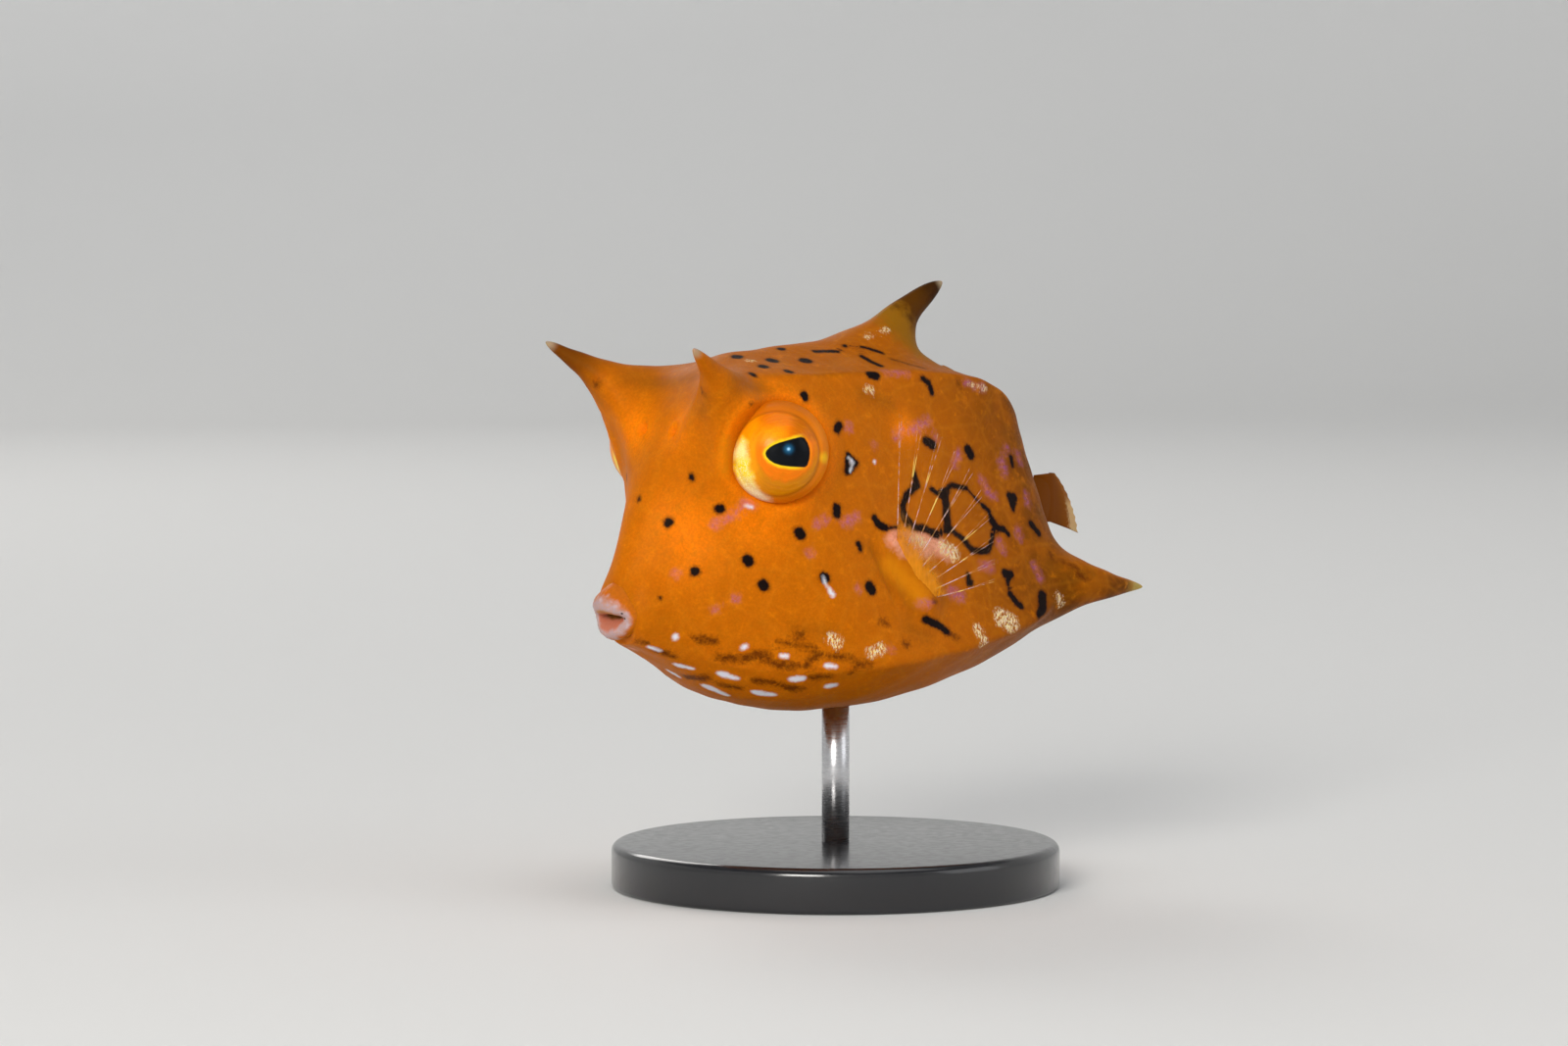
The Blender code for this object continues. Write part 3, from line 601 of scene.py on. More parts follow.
# %% Distances on the skin
def points_of(mesh):
    """The vertices of a mesh as an array."""
    flat = np.zeros(len(mesh.vertices) * 3, np.float32)
    mesh.vertices.foreach_get("co", flat)
    return flat.reshape(-1, 3).astype(float)


def normals_of(mesh):
    """The vertex normals of a mesh as an array."""
    flat = np.zeros(len(mesh.vertices) * 3, np.float32)
    mesh.vertex_normals.foreach_get("vector", flat)
    return flat.reshape(-1, 3).astype(float)


def put_points(mesh, points):
    """Writes an array back to the vertices of a mesh."""
    mesh.vertices.foreach_set("co", np.asarray(points, np.float32).ravel())
    mesh.update()


def tree_of(mesh):
    """A search tree of a mesh, for lines that meet it."""
    bm = bmesh.new()
    bm.from_mesh(mesh)
    made = BVHTree.FromBMesh(bm)
    bm.free()
    return made


def skin_point(tree, start, way):
    """Where a straight line meets the skin, or None."""
    return tree.ray_cast(Vector(start), Vector(way).normalized())[0]


def to_line(points, start, end):
    """Distance of each point to the line between two points."""
    start, end = np.array(start, float), np.array(end, float)
    run = end - start
    share = np.clip((points - start) @ run / max(run @ run, TINY), 0.0, 1.0)
    return np.linalg.norm(points - start - share[:, None] * run, axis=1)


def about(points, centre, axis):
    """How far each point is along an axis, and how far off it."""
    axis = np.array(axis)
    out = points - np.array(centre)
    along = out @ axis
    return along, np.linalg.norm(out - along[:, None] * axis, axis=1)


def hump(distance, width):
    """A smooth bump, 1 in the middle, of about that half width."""
    return np.exp(-(distance / width) ** 2)


def fold(distance, shape):
    """A rise, or a dip where it is negative, at some distance and of some width."""
    rise, at, width = shape
    return rise * hump(distance - at, width)


TINY = 1e-9
EYES = ((EYE_CENTRE, GAZE), (mirrored(EYE_CENTRE), mirrored(GAZE)))     # right, left
print("the skin has", len(points_of(skin_mesh)), "points to move")

# %% [markdown]
# The numbers of a fold are its rise, its distance from the middle and its width. The face
# swells softly round the lips and the flank under the side fins, where flesh covers the
# roots of the rays, and the whole skin gets slow waves.

# %% Moving the skin
FOLDS = ((0.27, 3.24, 0.42), (-0.05, 3.62, 0.14), (0.05, 3.84, 0.15), (-0.04, 4.15, 0.2))
LID_RADIUS = FOLDS[0][1]
NOSTRIL_AT, NOSTRIL_RUN = (1.4, 10.4), Vector((0.05, 0, 0.12))
NOSTRIL_RIM, NOSTRIL_PIT = (0.10, 0.42, 0.16), (-0.34, 0.0, 0.26)
GILL_SLIT_AT, GILL_SLIT_HALF, GILL_SLIT_LEAN = (15.6, 2.3), 1.7, -0.35
SLIT_RIM, SLIT_PIT = (0.06, 0.38, 0.22), (-0.16, 0.0, 0.2)
SIDE_FIN_ROOTS = ((16.6, 3.9), (18.6, 0.7))      # (x, z) of the first and last ray's root
FIN_MOUND = (0.62, 0.0, 0.95)
LIPS_AT, LIPS_FACING = Vector((2.4, 0.0, 0.22)), Vector((-1.0, 0.0, -0.32)).normalized()
SNOUT, SNOUT_DEPTH = (0.40, 1.85, 0.75), 5.0
SNOUT_LEAST = 0.12        # share of that swelling over and under the mouth
SNOUT_CORE = 0.5          # nearer the mouth's axis than this, all of it counts as middle
WAVE_RISE = 0.035
FAR = 60.0                # well outside the fish


def lid_rise(points, side, eye, gaze):
    """The lid and its folds round one eye."""
    along, off = about(points, eye, gaze)
    near = (along > -EYE_RADIUS) & (points[:, 1] * side > 0)
    return np.where(near, sum(fold(off, shape) for shape in FOLDS), 0.0)


def opening_rise(points, tree, side):
    """A nostril, a gill slit and the mound of a side fin."""
    nostril = skin_point(tree, (0, side * NOSTRIL_AT[0], NOSTRIL_AT[1]), (1, 0, 0))
    away = to_line(points, nostril, nostril + NOSTRIL_RUN)
    rise = fold(away, NOSTRIL_RIM) + fold(away, NOSTRIL_PIT)
    x, z = GILL_SLIT_AT
    lean = Vector((math.sin(GILL_SLIT_LEAN), 0, math.cos(GILL_SLIT_LEAN))) * GILL_SLIT_HALF
    ends = [skin_point(tree, (x + s * lean.x, side * FAR, z + s * lean.z), (0, -side, 0))
            for s in (-1, 1)]
    away = to_line(points, *ends)
    rise += fold(away, SLIT_RIM) + fold(away, SLIT_PIT)
    foot = [skin_point(tree, (x, side * FAR, z), (0, -side, 0)) for x, z in SIDE_FIN_ROOTS]
    return rise + fold(to_line(points, *foot), FIN_MOUND)


def snout_rise(points):
    """A soft fillet of the face round the lips."""
    along, off = about(points, LIPS_AT, LIPS_FACING)
    sideways = np.clip(np.abs(points[:, 1]) / np.maximum(off, SNOUT_CORE), 0.0, 1.0) ** 2
    rise = fold(off, SNOUT) * (along > -SNOUT_DEPTH)
    return rise * (SNOUT_LEAST + (1 - SNOUT_LEAST) * sideways)


def wave_rise(points):
    """Slow swells from a few crossed sine waves, so that no face is quite flat."""
    x, y, z = points.T
    wave = (np.sin(1.3 * x + 0.7 * z) * np.sin(1.1 * z - 0.4 * y + 1.0)
            + 0.6 * np.sin(2.3 * x - 1.7 * z + 2.0) * np.sin(2.1 * y + 1.3 * z))
    return WAVE_RISE * wave


skin_points = points_of(skin_mesh)
for side, (eye, gaze) in ((-1, EYES[1]), (1, EYES[0])):
    skin_points += np.array(gaze) * lid_rise(skin_points, side, eye, gaze)[:, None]
put_points(skin_mesh, skin_points)
skin_normals = normals_of(skin_mesh)
case_tree = tree_of(skin_mesh)
for side in (-1, 1):
    skin_points += skin_normals * opening_rise(skin_points, case_tree, side)[:, None]
skin_points += skin_normals * snout_rise(skin_points)[:, None]
skin_points += skin_normals * wave_rise(skin_points)[:, None]
put_points(skin_mesh, skin_points)
skin_tree = tree_of(skin_mesh)
print("skin moved; mouth end at x", round(float(skin_points[:, 0].min()), 2), "mm")

# %% [markdown]
# ## Markings
#
# Black spots, pale dashes, violet flecks and pearly patches are pigment in the skin; some
# kinds of mark also hold painted light and shade, as told below. A picture wrapped round the
# fish would be one way; here each mark is a line with a width, and every vertex stores how
# far it is from the nearest mark of each colour. The shader turns that distance into a soft
# edge that noise makes ragged, so a mark stays sharp at any size. A mark on the left flank
# gets a twin on the right, a little out of place, as the two sides of a fish are never
# quite alike.

# %% Marks, as read off the picture
# Each mark is its width and then its points, in pixels of the picture.
BLACK = (
    (9, (821, 404.5)), (7.5, (856, 434), (854, 438)), (8.5, (854, 518), (854, 524)),
    (9, (733.5, 519), (735, 519)), (5, (706, 486), (706, 488)), (8, (683, 532), (681, 534)),
    (11, (815.5, 543), (817, 545)), (10, (762.5, 571), (764, 573)),
    (8.5, (708.5, 583), (710, 583)), (10, (778.5, 596), (780, 598)),
    (10, (841, 589), (842, 590)), (9.5, (887, 598), (889.5, 602)), (5, (876, 555), (878, 560)),
    (3.2, (652, 508), (652, 510)), (3, (673.6, 610)), (5, (865, 464), (864, 482)),
    (5, (866, 465), (874, 472), (867, 481)), (8, (945, 450), (952, 454)),
    (9, (988, 459), (990.5, 464)), (4.5, (1031.5, 467), (1033, 475)),
    (7, (1030, 506), (1035, 508)), (7, (1032, 510), (1033, 515)),
    (4, (1033.5, 515), (1034, 520)), (6, (1052, 534), (1060, 544)),
    (6, (892.5, 528), (895.5, 534)), (8, (898, 536), (903, 538)), (2.5, (906, 539), (917, 538)),
    (3, (933.5, 481), (934, 487)), (7, (934, 489), (936, 495)), (6, (932, 499), (929, 502)),
    (6.5, (925, 505), (921.5, 515), (921.5, 525)), (10, (923.5, 529), (928, 535)),
    (6, (932, 538), (944, 539), (950, 543)), (7.5, (951, 543.5), (956, 545)),
    (4.5, (950.5, 499), (958, 504), (966, 499), (972, 494.5), (978, 496.5), (985, 497.5)),
    (8, (961, 503), (964, 504)), (8.5, (964.5, 505), (965.5, 516), (966, 528), (967, 537)),
    (6, (964, 541), (970, 540)), (5, (974, 543), (984, 551), (990, 559.5)),
    (6, (992, 561), (999.5, 562.5), (1008, 561.5)),
    (4.5, (1010, 558), (1011.5, 552.5), (1013, 545.5)),
    (1.8, (986, 497.5), (996, 509.5), (1003, 516)),
    (4.5, (1003, 516), (1008.5, 520.5), (1011, 529)), (7.5, (1012, 531), (1016, 537)),
    (6, (1018, 538.5), (1024, 540)), (4.5, (1024, 540), (1029, 545)),
    (5, (988, 587), (988.5, 595)), (7, (989, 593), (990, 594)), (8, (1025.5, 585), (1031, 586)),
    (5, (1028.5, 588), (1028.5, 593)), (2, (1029, 594), (1029.5, 603)),
    (6, (1031, 606), (1036, 613.5), (1042, 618.5)), (10, (1063.5, 608), (1064, 621)),
    (6, (1060, 627), (1064, 624)), (7, (944, 632), (956, 637)), (6.5, (958, 638), (966, 644)),
    (7, (752, 364)), (7, (788, 368)), (6, (779, 374)), (8, (822, 368)), (5, (805, 379)),
    (5, (768, 382)), (5, (797, 356)), (4, (832, 358.5), (854, 358.5)), (4, (862, 353)),
    (3, (879, 354), (900, 360)), (4, (880, 364), (898, 373)), (8, (888, 382), (894, 383)),
    (5, (941, 386), (948, 391), (951, 401)),
)
BROWN = (
    (5, (767, 412)), (10, (815.5, 647), (817, 649)), (4, (716, 398), (717, 400)),
    (2.5, (757, 440), (765, 440)), (5, (899, 633), (905, 637)), (6, (922, 656), (926, 658)),
    (6, (978, 391), (979, 393)), (5, (1071, 564.5), (1073, 567)), (4, (1084, 573), (1098, 579)),
    (6, (1101, 587), (1108, 591)), (5, (953, 612), (955, 614)), (6, (968, 646), (977, 651)),
    (3, (909, 366), (944, 376)), (5, (650, 654), (660, 656)), (6, (667, 663), (688, 670)),
    (9, (709, 651), (729, 654)), (9, (733, 671), (753, 672), (768, 671)),
    (11, (770, 667), (785, 671)), (10, (790, 677), (812, 680)), (5, (772, 671), (800, 680)),
    (9, (822, 679), (828, 672), (838, 668)),
    (6, (846, 669), (868, 671), (876, 677), (889, 678)), (5, (876, 678), (868, 687)),
    (7, (827, 691), (846, 690)), (9, (798, 700), (817, 703)), (8, (769, 694), (790, 696)),
    (9, (701, 691), (720, 691)), (6, (734, 698), (755, 702)), (5, (795, 655), (830, 660)),
)
print("dark marks:", len(BLACK), "and", len(BROWN))

# %% [markdown]
# The pale and coloured marks follow in the same way. Shade and amber are faint and wide
# changes of tone that no noise puts in the right place. Shade darkens the brow, the far horn,
# the fold by the gill slit and parts of the flank: partly painted shade, partly the skin's own
# darker tone. Amber is the skin's own colour under the side fin's foot, and painted light on
# two smaller lighter patches, left of the eye and higher on the head. The pink sheen is a
# painted sheen, and the pearl marks are pearly pigment with painted glints.

# %% Pale and coloured marks
PALE = (
    (6, (689, 649), (689, 651)), (3.5, (662, 660), (673, 664)), (5.5, (690, 678), (697, 680)),
    (4, (698, 680), (706, 682)), (3.5, (682, 684), (692, 690)), (7, (735, 687), (744, 690)),
    (5, (744, 690), (752, 692)), (7.5, (720, 700), (730, 704)), (5, (730, 704), (741, 709)),
    (5.5, (758, 661), (761, 659)), (4, (797, 669), (803, 669.5)), (4.5, (843, 679), (852, 680)),
    (7, (808, 693), (819, 692)), (6.5, (845, 700), (851, 699)), (7.5, (771, 706), (780, 708)),
    (5.5, (780, 708), (789, 708.5)), (2.6, (840, 589), (843, 597)),
    (4.5, (846, 602), (850, 607)), (2.5, (761, 515.5), (767, 517.5)), (3, (892.5, 471)),
    (1.8, (866, 467), (871, 472), (867, 481)),
)
VIOLET = (
    (7, (729, 535), (736, 531)), (5, (740, 529), (750, 525)), (5, (758, 513), (768, 517)),
    (7, (862, 533), (874, 528)), (6, (834, 535), (842, 530)), (5, (866, 434), (866, 437)),
    (6, (914, 445), (920, 440)), (8, (933, 437), (946, 430)), (5, (955, 447)),
    (7, (974, 472), (978, 463)), (8, (1022, 471), (1025, 481)), (5, (1027, 457)),
    (5, (1039, 465), (1041, 470)), (6, (1002, 490), (1007.5, 502)),
    (5, (1010, 504), (1015, 507)), (5, (1047, 505), (1049, 514)),
    (6, (1038.5, 542), (1040, 548)), (6, (1020, 554), (1023, 561)),
    (7, (1003, 578), (1011, 578)), (6, (1055.5, 578), (1061, 589)), (9, (971, 604), (980, 608)),
    (6, (938, 617), (948, 616)), (4, (891.5, 454)), (6, (827, 565)), (5, (690, 585)),
    (6, (750, 611)), (5, (876, 601)), (4, (909, 663)), (5, (730, 622)),
    (4, (903, 379), (925, 380)), (4, (985, 390), (1004, 396)),
)
# Pearly pigment, with painted glints at the thorn's foot, on the ridge and along the rear edge of
# the shoulder.
PEARL_AND_GLINT = (
    (16, (1022, 630), (1032, 636)), (9, (998, 642), (1004, 656)), (4, (1079, 605), (1083, 617)),
    (12, (849, 652), (854, 655)), (11, (890, 665), (898, 662)), (7, (886, 397), (889, 399)),
    (3.5, (901, 338), (905, 336)), (3, (990, 392), (1006, 397)), (9, (932, 550), (942, 553)),
    (13, (963, 558), (973, 565)), (3.5, (884, 344), (888, 342)), (5, (766, 368)),
)
# Painted sheen: a pink white reflection under the side fin, and a thin pale rim along the chin's
# edge.
PINK_SHEEN = (
    (16, (914, 549), (938, 550), (956, 555)), (12, (950, 556), (966, 564)),
    (10, (922, 561), (945, 565)), (3, (646, 662), (668, 682), (698, 703), (735, 717)),
)
# Painted shade at the brow, the far horn, the fold by the gill slit and on the flank, partly the
# skin's own darker tone.
SHADE = (
    (10, (640, 386), (672, 390), (705, 386)), (6, (750, 388), (778, 394)),
    (8, (574, 362), (604, 374)), (3, (884, 556), (906, 590), (932, 620)),
    (6, (716, 420), (722, 405)), (8, (880, 402), (905, 410)), (5, (812, 640), (850, 646)),
    (6, (925, 640), (945, 648)),
)
# The skin's own amber under the side fin's foot, and painted light left of the eye and higher on
# the head.
AMBER = (
    (16, (908, 576), (940, 608)), (8, (742, 452), (741, 480)), (6, (640, 352), (655, 362)),
)
MARKS = {"black": BLACK, "brown": BROWN, "pale": PALE, "violet": VIOLET,
         "pearl_and_glint": PEARL_AND_GLINT, "pink_sheen": PINK_SHEEN, "shade": SHADE, "amber": AMBER}
print("kinds of mark:", ", ".join(MARKS))

# %% [markdown]
# Each mark is now thrown from the camera on to the skin. A stroke seen at a slant would
# come out too thin, so its width grows as the skin turns away.

# %% Marks on the skin
FAR_LINE = 2.0          # a mark this far from the middle line gets a twin on the other side
SLIP = 6.0              # how far a twin is out of place, in pixels
LEAST_FACING = 0.25
TAPER = {"pale": 0.25, "brown": 0.3}      # how much narrower a stroke is at its ends
NOWHERE = 9.0           # a distance that no shader reacts to


def place_marks(marks, seed):
    """The marks as lines in the fish's measure, with their half widths, and their twins."""
    chance = np.random.default_rng(seed)
    lines = []
    for width, *points in marks:
        slip = chance.uniform(-SLIP, SLIP, 2)
        for twin in (False, True):
            shift = slip if twin else (0.0, 0.0)
            found, facing = [], []
            for x, y in points:
                way = sight(x + shift[0], y + shift[1])
                hit, normal, _, _ = skin_tree.ray_cast(eye_point, way)
                if hit is not None:
                    found.append(hit)
                    facing.append(max(LEAST_FACING, -normal.dot(way)))
            if not found or (twin and found[0].y > -FAR_LINE):
                continue
            if twin:
                found = [mirrored(p) for p in found]
            half = width / 2 * PIXEL / math.sqrt(sum(facing) / len(facing))
            for start, end in zip(found, found[1:] or found):
                lines.append((start, end, half))
    return lines


def marked(points, lines, taper=0.0):
    """For each point the distance to the nearest mark's edge, its half width and the way."""
    nearest, halves = np.full(len(points), NOWHERE), np.zeros(len(points))
    ways = np.full((len(points), 3), NOWHERE)
    for start, end, half in lines:
        start, run = np.array(start, float), np.array(end - start, float)
        share = np.clip((points - start) @ run / max(run @ run, TINY), 0.0, 1.0)
        way = start + share[:, None] * run - points
        wide = half * (1 - taper * (2 * share - 1) ** 2)
        away = np.linalg.norm(way, axis=1) - wide
        closer = away < nearest
        nearest[closer], halves[closer], ways[closer] = away[closer], wide[closer], way[closer]
    return nearest, halves, ways


def store(mesh, name, values):
    """Keeps a number or a vector for each vertex of a mesh."""
    values = np.asarray(values, np.float32)
    kind, key = ("FLOAT", "value") if values.ndim == 1 else ("FLOAT_VECTOR", "vector")
    mesh.attributes.new(name, kind, "POINT").data.foreach_set(key, values.ravel())


for seed, (name, marks) in enumerate(MARKS.items()):
    lines = place_marks(marks, seed)
    fields = marked(skin_points, lines, TAPER.get(name, 0.0))
    for ending, values in zip(("", "_half", "_way"), fields):
        store(skin_mesh, name + ending, values)
    print(name, "marks:", len(lines), "strokes on both sides")

# %% [markdown]
# The ground colour changes slowly over the body: a painted glow at brow and lids where light
# comes through thin skin, painted shade that darkens it towards the rear and on the roof, and
# pale, gold or dark points on the spines. Those zones are stored in the same way.

# %% Zones of the ground colour
# painted glow where light comes through thin skin, at the brow, round the eye and on the cheek
GLOWS = (((652, 438), 1.5), ((923, 438), 0.9), ((790, 412), 1.5), ((770, 520), 2.2),
         ((700, 545), 2.4))       # pixel and radius
LID_GLOW, LID_GLOW_WIDTH = 0.85, 0.55
SPINE_TIPS = {"tip": (HORN_TIP, mirrored(HORN_TIP), THORN_TIP),
              "hip": (HIP_TIP, mirrored(HIP_TIP)), "thorn": (THORN_TIP,)}


def from_point(points, spot):
    """The distance of each point to one spot."""
    return np.linalg.norm(points - np.array(spot), axis=1)


glow = np.zeros(len(skin_points))
for (x, y), radius in GLOWS:
    hit = skin_tree.ray_cast(eye_point, sight(x, y))[0]
    for spot in (hit, mirrored(hit)):
        np.maximum(glow, hump(from_point(skin_points, spot), radius), out=glow)
for centre, gaze in EYES:
    along, off = about(skin_points, centre, gaze)
    ring = LID_GLOW * hump(off - LID_RADIUS, LID_GLOW_WIDTH) * (along > -EYE_RADIUS)
    np.maximum(glow, ring, out=glow)
store(skin_mesh, "glow", glow)
for name, tips in SPINE_TIPS.items():
    store(skin_mesh, name, np.min([from_point(skin_points, tip) for tip in tips], axis=0))
# how far the skin faces up, for the painted shade on the roof
store(skin_mesh, "rise", skin_normals[:, 2])
print("zones: glow, rise,", ", ".join(SPINE_TIPS))

# %% [markdown]
# ## The skin's finish
#
# Live skin is not one orange. It is a clear layer over pigment, so light enters and comes
# out warm a little way off; the finest grain is the scales, and faint lighter seams show
# where the plates of the case meet. The next cells lay ground, seams, spines and marks
# over each other in that order, and end in one shader with light under its surface. The
# first sets out the paints and the noises that every layer shares.

# %% Skin: paints and noises
# FACE to REAR is painted light falloff, ROOF is painted shade on top, BRIGHT is painted glow
FACE, FLANK, REAR = (0.585, 0.147, 0.001), (0.50, 0.126, 0.001), (0.118, 0.036, 0.001)
ROOF, UNDER, BRIGHT = (0.38, 0.100, 0.001), (0.60, 0.150, 0.001), (1.0, 0.235, 0.001)
MOTTLE_DARK, MOTTLE_LIGHT = (0.46, 0.135, 0.002), (1.0, 0.30, 0.002)
SEAM_GOLD, CELL_GOLD, GRAIN_DARK = (0.95, 0.36, 0.02), (1.0, 0.33, 0.01), (0.26, 0.06, 0.001)
PLATE_SIZE, CELL_SIZE = 2.7, 1.3
SEAM_SHARE, SEAM_WIDTH, CELL_WIDTH = 0.06, 0.07, 0.14

stuff, tree = new_material("skin")
place = fish_place(tree)
back_way, side_way, up_way = axes_of(tree, place)
slow = noise(tree, place, 0.45, 3.0)
patch = noise(tree, place, 1.6, 3.0, 0.6)
grain = noise(tree, place, 7.0, 2.0, 0.6)
fine = noise(tree, place, 16.0, 1.0)
wobble = noise(tree, place, 3.0, 2.0)
print("noises: slow, patch, grain, fine, wobble")

# %% [markdown]
# The ground goes from a bright face to a dark brown rear: painted light that falls off
# towards the rear. Painted shade dulls the roof, where the skin faces up, the parts in the
# painted glow are brighter, and two slow noises mottle it all.

# %% Skin: ground and seams
roof = times(tree, ramp(tree, field(tree, "rise"), 0.35, 0.9),
             ramp(tree, field(tree, "tip"), 2.5, 6.0, 0.2, 0.75))
ground = layered(
    tree, FACE,
    # painted light falloff: darker towards the rear
    (ramp(tree, back_way, 7.0, 19.0), FLANK),
    (ramp(tree, back_way, 17.0, 31.5), REAR),
    # painted shade where the skin faces up
    (roof, ROOF),
    (ramp(tree, up_way, -2.8, -4.8, 0.0, 0.8), UNDER),
    # painted glow
    (times(tree, field(tree, "glow"), 0.9), BRIGHT),
    (ramp(tree, slow, 0.42, 0.72, 0.0, 0.35), FLANK),
    (ramp(tree, patch, 0.5, 0.75, 0.0, 0.30), MOTTLE_DARK),
    (ramp(tree, patch, 0.45, 0.25, 0.0, 0.25), MOTTLE_LIGHT))

seams = node(tree, "ShaderNodeTexVoronoi", {"Vector": place, "Scale": 1 / PLATE_SIZE},
             feature="DISTANCE_TO_EDGE")
seam = ramp(tree, seams, SEAM_WIDTH, 0.0, 0.0, SEAM_SHARE)
swirl = node(tree, "ShaderNodeTexNoise", {"Vector": place, "Scale": 0.9, "Detail": 1.0},
             out="Color")
bent = node(tree, "ShaderNodeVectorMath", {0: place, 1: swirl}, operation="ADD")
cells = node(tree, "ShaderNodeTexVoronoi", {"Vector": bent, "Scale": 1 / CELL_SIZE},
             feature="DISTANCE_TO_EDGE")
ground = layered(
    tree, ground,
    (seam, SEAM_GOLD),
    (ramp(tree, cells, CELL_WIDTH, 0.0, 0.0, SEAM_SHARE), CELL_GOLD),
    (ramp(tree, grain, 0.3, 0.75, 0.25, 0.0), GRAIN_DARK))
print("ground laid")

# %% [markdown]
# The points of the spines are thin, so less light stays in them. The horns brown towards
# their points, and the far horn much more, which is painted shade on the far side; the thorn
# goes from gold through brown to almost black, and the hip spines end in olive. Noise added
# to the distance keeps those borders from being rings.

# %% Skin: spines
# brown of the horn points, with painted shade that darkens the far horn
HORN_BROWN_AND_SHADE = (0.13, 0.032, 0.001)
POINT_GOLD, POINT_BROWN = (0.27, 0.112, 0.004), (0.090, 0.029, 0.001)
POINT_DARK, POINT_PALE, POINT_OLIVE = (0.036, 0.011, 0.001), (0.42, 0.34, 0.22), (0.46, 0.36, 0.10)

far_tip, thorn = field(tree, "tip"), field(tree, "thorn")
ragged_thorn = scaled(tree, patch, 2.0, thorn)
ragged_point = scaled(tree, patch, 1.2, thorn)
ragged_hip = scaled(tree, patch, 0.9, field(tree, "hip"))
ground = layered(
    tree, ground,
    # browner horn points, and painted shade that darkens the far horn most
    (times(tree, ramp(tree, far_tip, 4.8, 1.4), ramp(tree, side_way, -4.0, 4.0, 0.12, 0.92)),
     HORN_BROWN_AND_SHADE),
    (ramp(tree, ragged_thorn, 7.6, 6.0), POINT_GOLD),
    (ramp(tree, ragged_thorn, 5.6, 4.2), POINT_BROWN),
    (ramp(tree, ragged_point, 3.4, 1.4), POINT_DARK),
    (ramp(tree, far_tip, 0.85, 0.2, 0.0, 0.8), POINT_PALE),
    (ramp(tree, ragged_hip, 2.3, 0.9, 0.0, 0.8), POINT_OLIVE))
print("spines coloured")

# %% [markdown]
# Marks go on from the faintest to the strongest. Each edge is the stored distance plus a
# noise: a little of it makes the black spots' edges uneven, more of it breaks the violet
# and brown ones up into dust. The pearly patches and their painted glints are streaks,
# finer than a mark.

# %% Skin: marks
INK, UMBER, CHALK = (0.006, 0.003, 0.004), (0.105, 0.022, 0.001), (0.80, 0.81, 0.90)
# the last of these three is the colour of the painted pink sheen
LILAC, ROSE, PAINTED_SHEEN_PINK = (0.36, 0.10, 0.36), (0.66, 0.20, 0.20), (0.80, 0.36, 0.24)
# the colours of pearly pigment and its painted glints
PEARL_GLINT_WARM, PEARL_GLINT_COOL = (0.85, 0.66, 0.22), (0.72, 0.62, 0.52)
SHADE_BROWN, LOBE_AMBER = (0.20, 0.062, 0.002), (0.66, 0.215, 0.003)
FIELD_SLACK = 0.15     # how far the distance stored on the mesh may be out, in millimetres
EDGE_NOISE, DUST_NOISE = 0.16, 0.45
HALO = 0.10            # how far the brown halo of a black spot reaches past it


def edge(tree, name, ragged, softness):
    """1 inside the marks of one colour and 0 outside, with an edge that noise makes ragged."""
    way = node(tree, "ShaderNodeAttribute", out="Vector", attribute_name=name + "_way")
    length = node(tree, "ShaderNodeVectorMath", {0: way}, out="Value", operation="LENGTH")
    away = math_node(tree, "SUBTRACT", length, field(tree, name + "_half"))
    stored = math_node(tree, "SUBTRACT", field(tree, name), FIELD_SLACK)
    away = math_node(tree, "MAXIMUM", away, stored)
    return ramp(tree, math_node(tree, "ADD", away, ragged), softness, -softness)


both = math_node(tree, "ADD", wobble, grain)
warp = scaled(tree, both, EDGE_NOISE, -EDGE_NOISE)
speck = scaled(tree, both, DUST_NOISE, -DUST_NOISE)
dust = ramp(tree, noise(tree, place, 3.8, 3.0, 0.6), 0.30, 0.58, 0.50, 0.92)
strokes = node(tree, "ShaderNodeMapping", {"Vector": place, "Rotation": (0.0, 0.5, 0.0),
                                           "Scale": (9.0, 9.0, 3.5)})
brushed = ramp(tree, noise(tree, strokes, 1.0, 2.0, 0.7), 0.44, 0.56, 0.05, 1.0)
halo = edge(tree, "black", math_node(tree, "SUBTRACT", warp, HALO), 0.12)
ground = layered(
    tree, ground,
    # painted shade, partly the skin's own darker tone
    (times(tree, edge(tree, "shade", speck, 0.8), 0.55), SHADE_BROWN),
    # the fin foot's own amber, and painted light on two small patches
    (times(tree, edge(tree, "amber", speck, 0.55), 0.85), LOBE_AMBER),
    (times(tree, edge(tree, "brown", speck, 0.26), dust), UMBER),
    # painted pink sheen
    (times(tree, edge(tree, "pink_sheen", speck, 0.35), ramp(tree, grain, 0.3, 0.6, 0.6, 0.95)),
     PAINTED_SHEEN_PINK),
    (times(tree, edge(tree, "violet", speck, 0.34), ramp(tree, grain, 0.35, 0.65, 0.15, 0.62)),
     blend(tree, ramp(tree, wobble, 0.4, 0.6), LILAC, ROSE)),
    # pearly pigment with painted glints
    (times(tree, edge(tree, "pearl_and_glint", speck, 0.18), brushed),
     blend(tree, ramp(tree, fine, 0.4, 0.6), PEARL_GLINT_COOL, PEARL_GLINT_WARM)),
    (times(tree, halo, 0.55), UMBER),
    (edge(tree, "black", warp, 0.075), INK),
    (times(tree, edge(tree, "pale", warp, 0.15), 0.95), CHALK))
print("marks laid over the ground")

# %% [markdown]
# Last comes the surface itself. The soft skin hardly glints in the picture, so its
# gloss is low; the grain stands up by a twentieth of a millimetre. Red light travels
# furthest under the surface, which is what makes thin parts glow.

# %% Skin: surface, and the skin in place
SKIN_RELIEF = (0.05, 0.5)       # depth in millimetres, and strength
SKIN_LIGHT = (1.0, 0.30, 0.05)  # how far red, green and blue travel, as shares
SKIN_GLOSS = (1.0, 0.72, 0.42, 1.0)

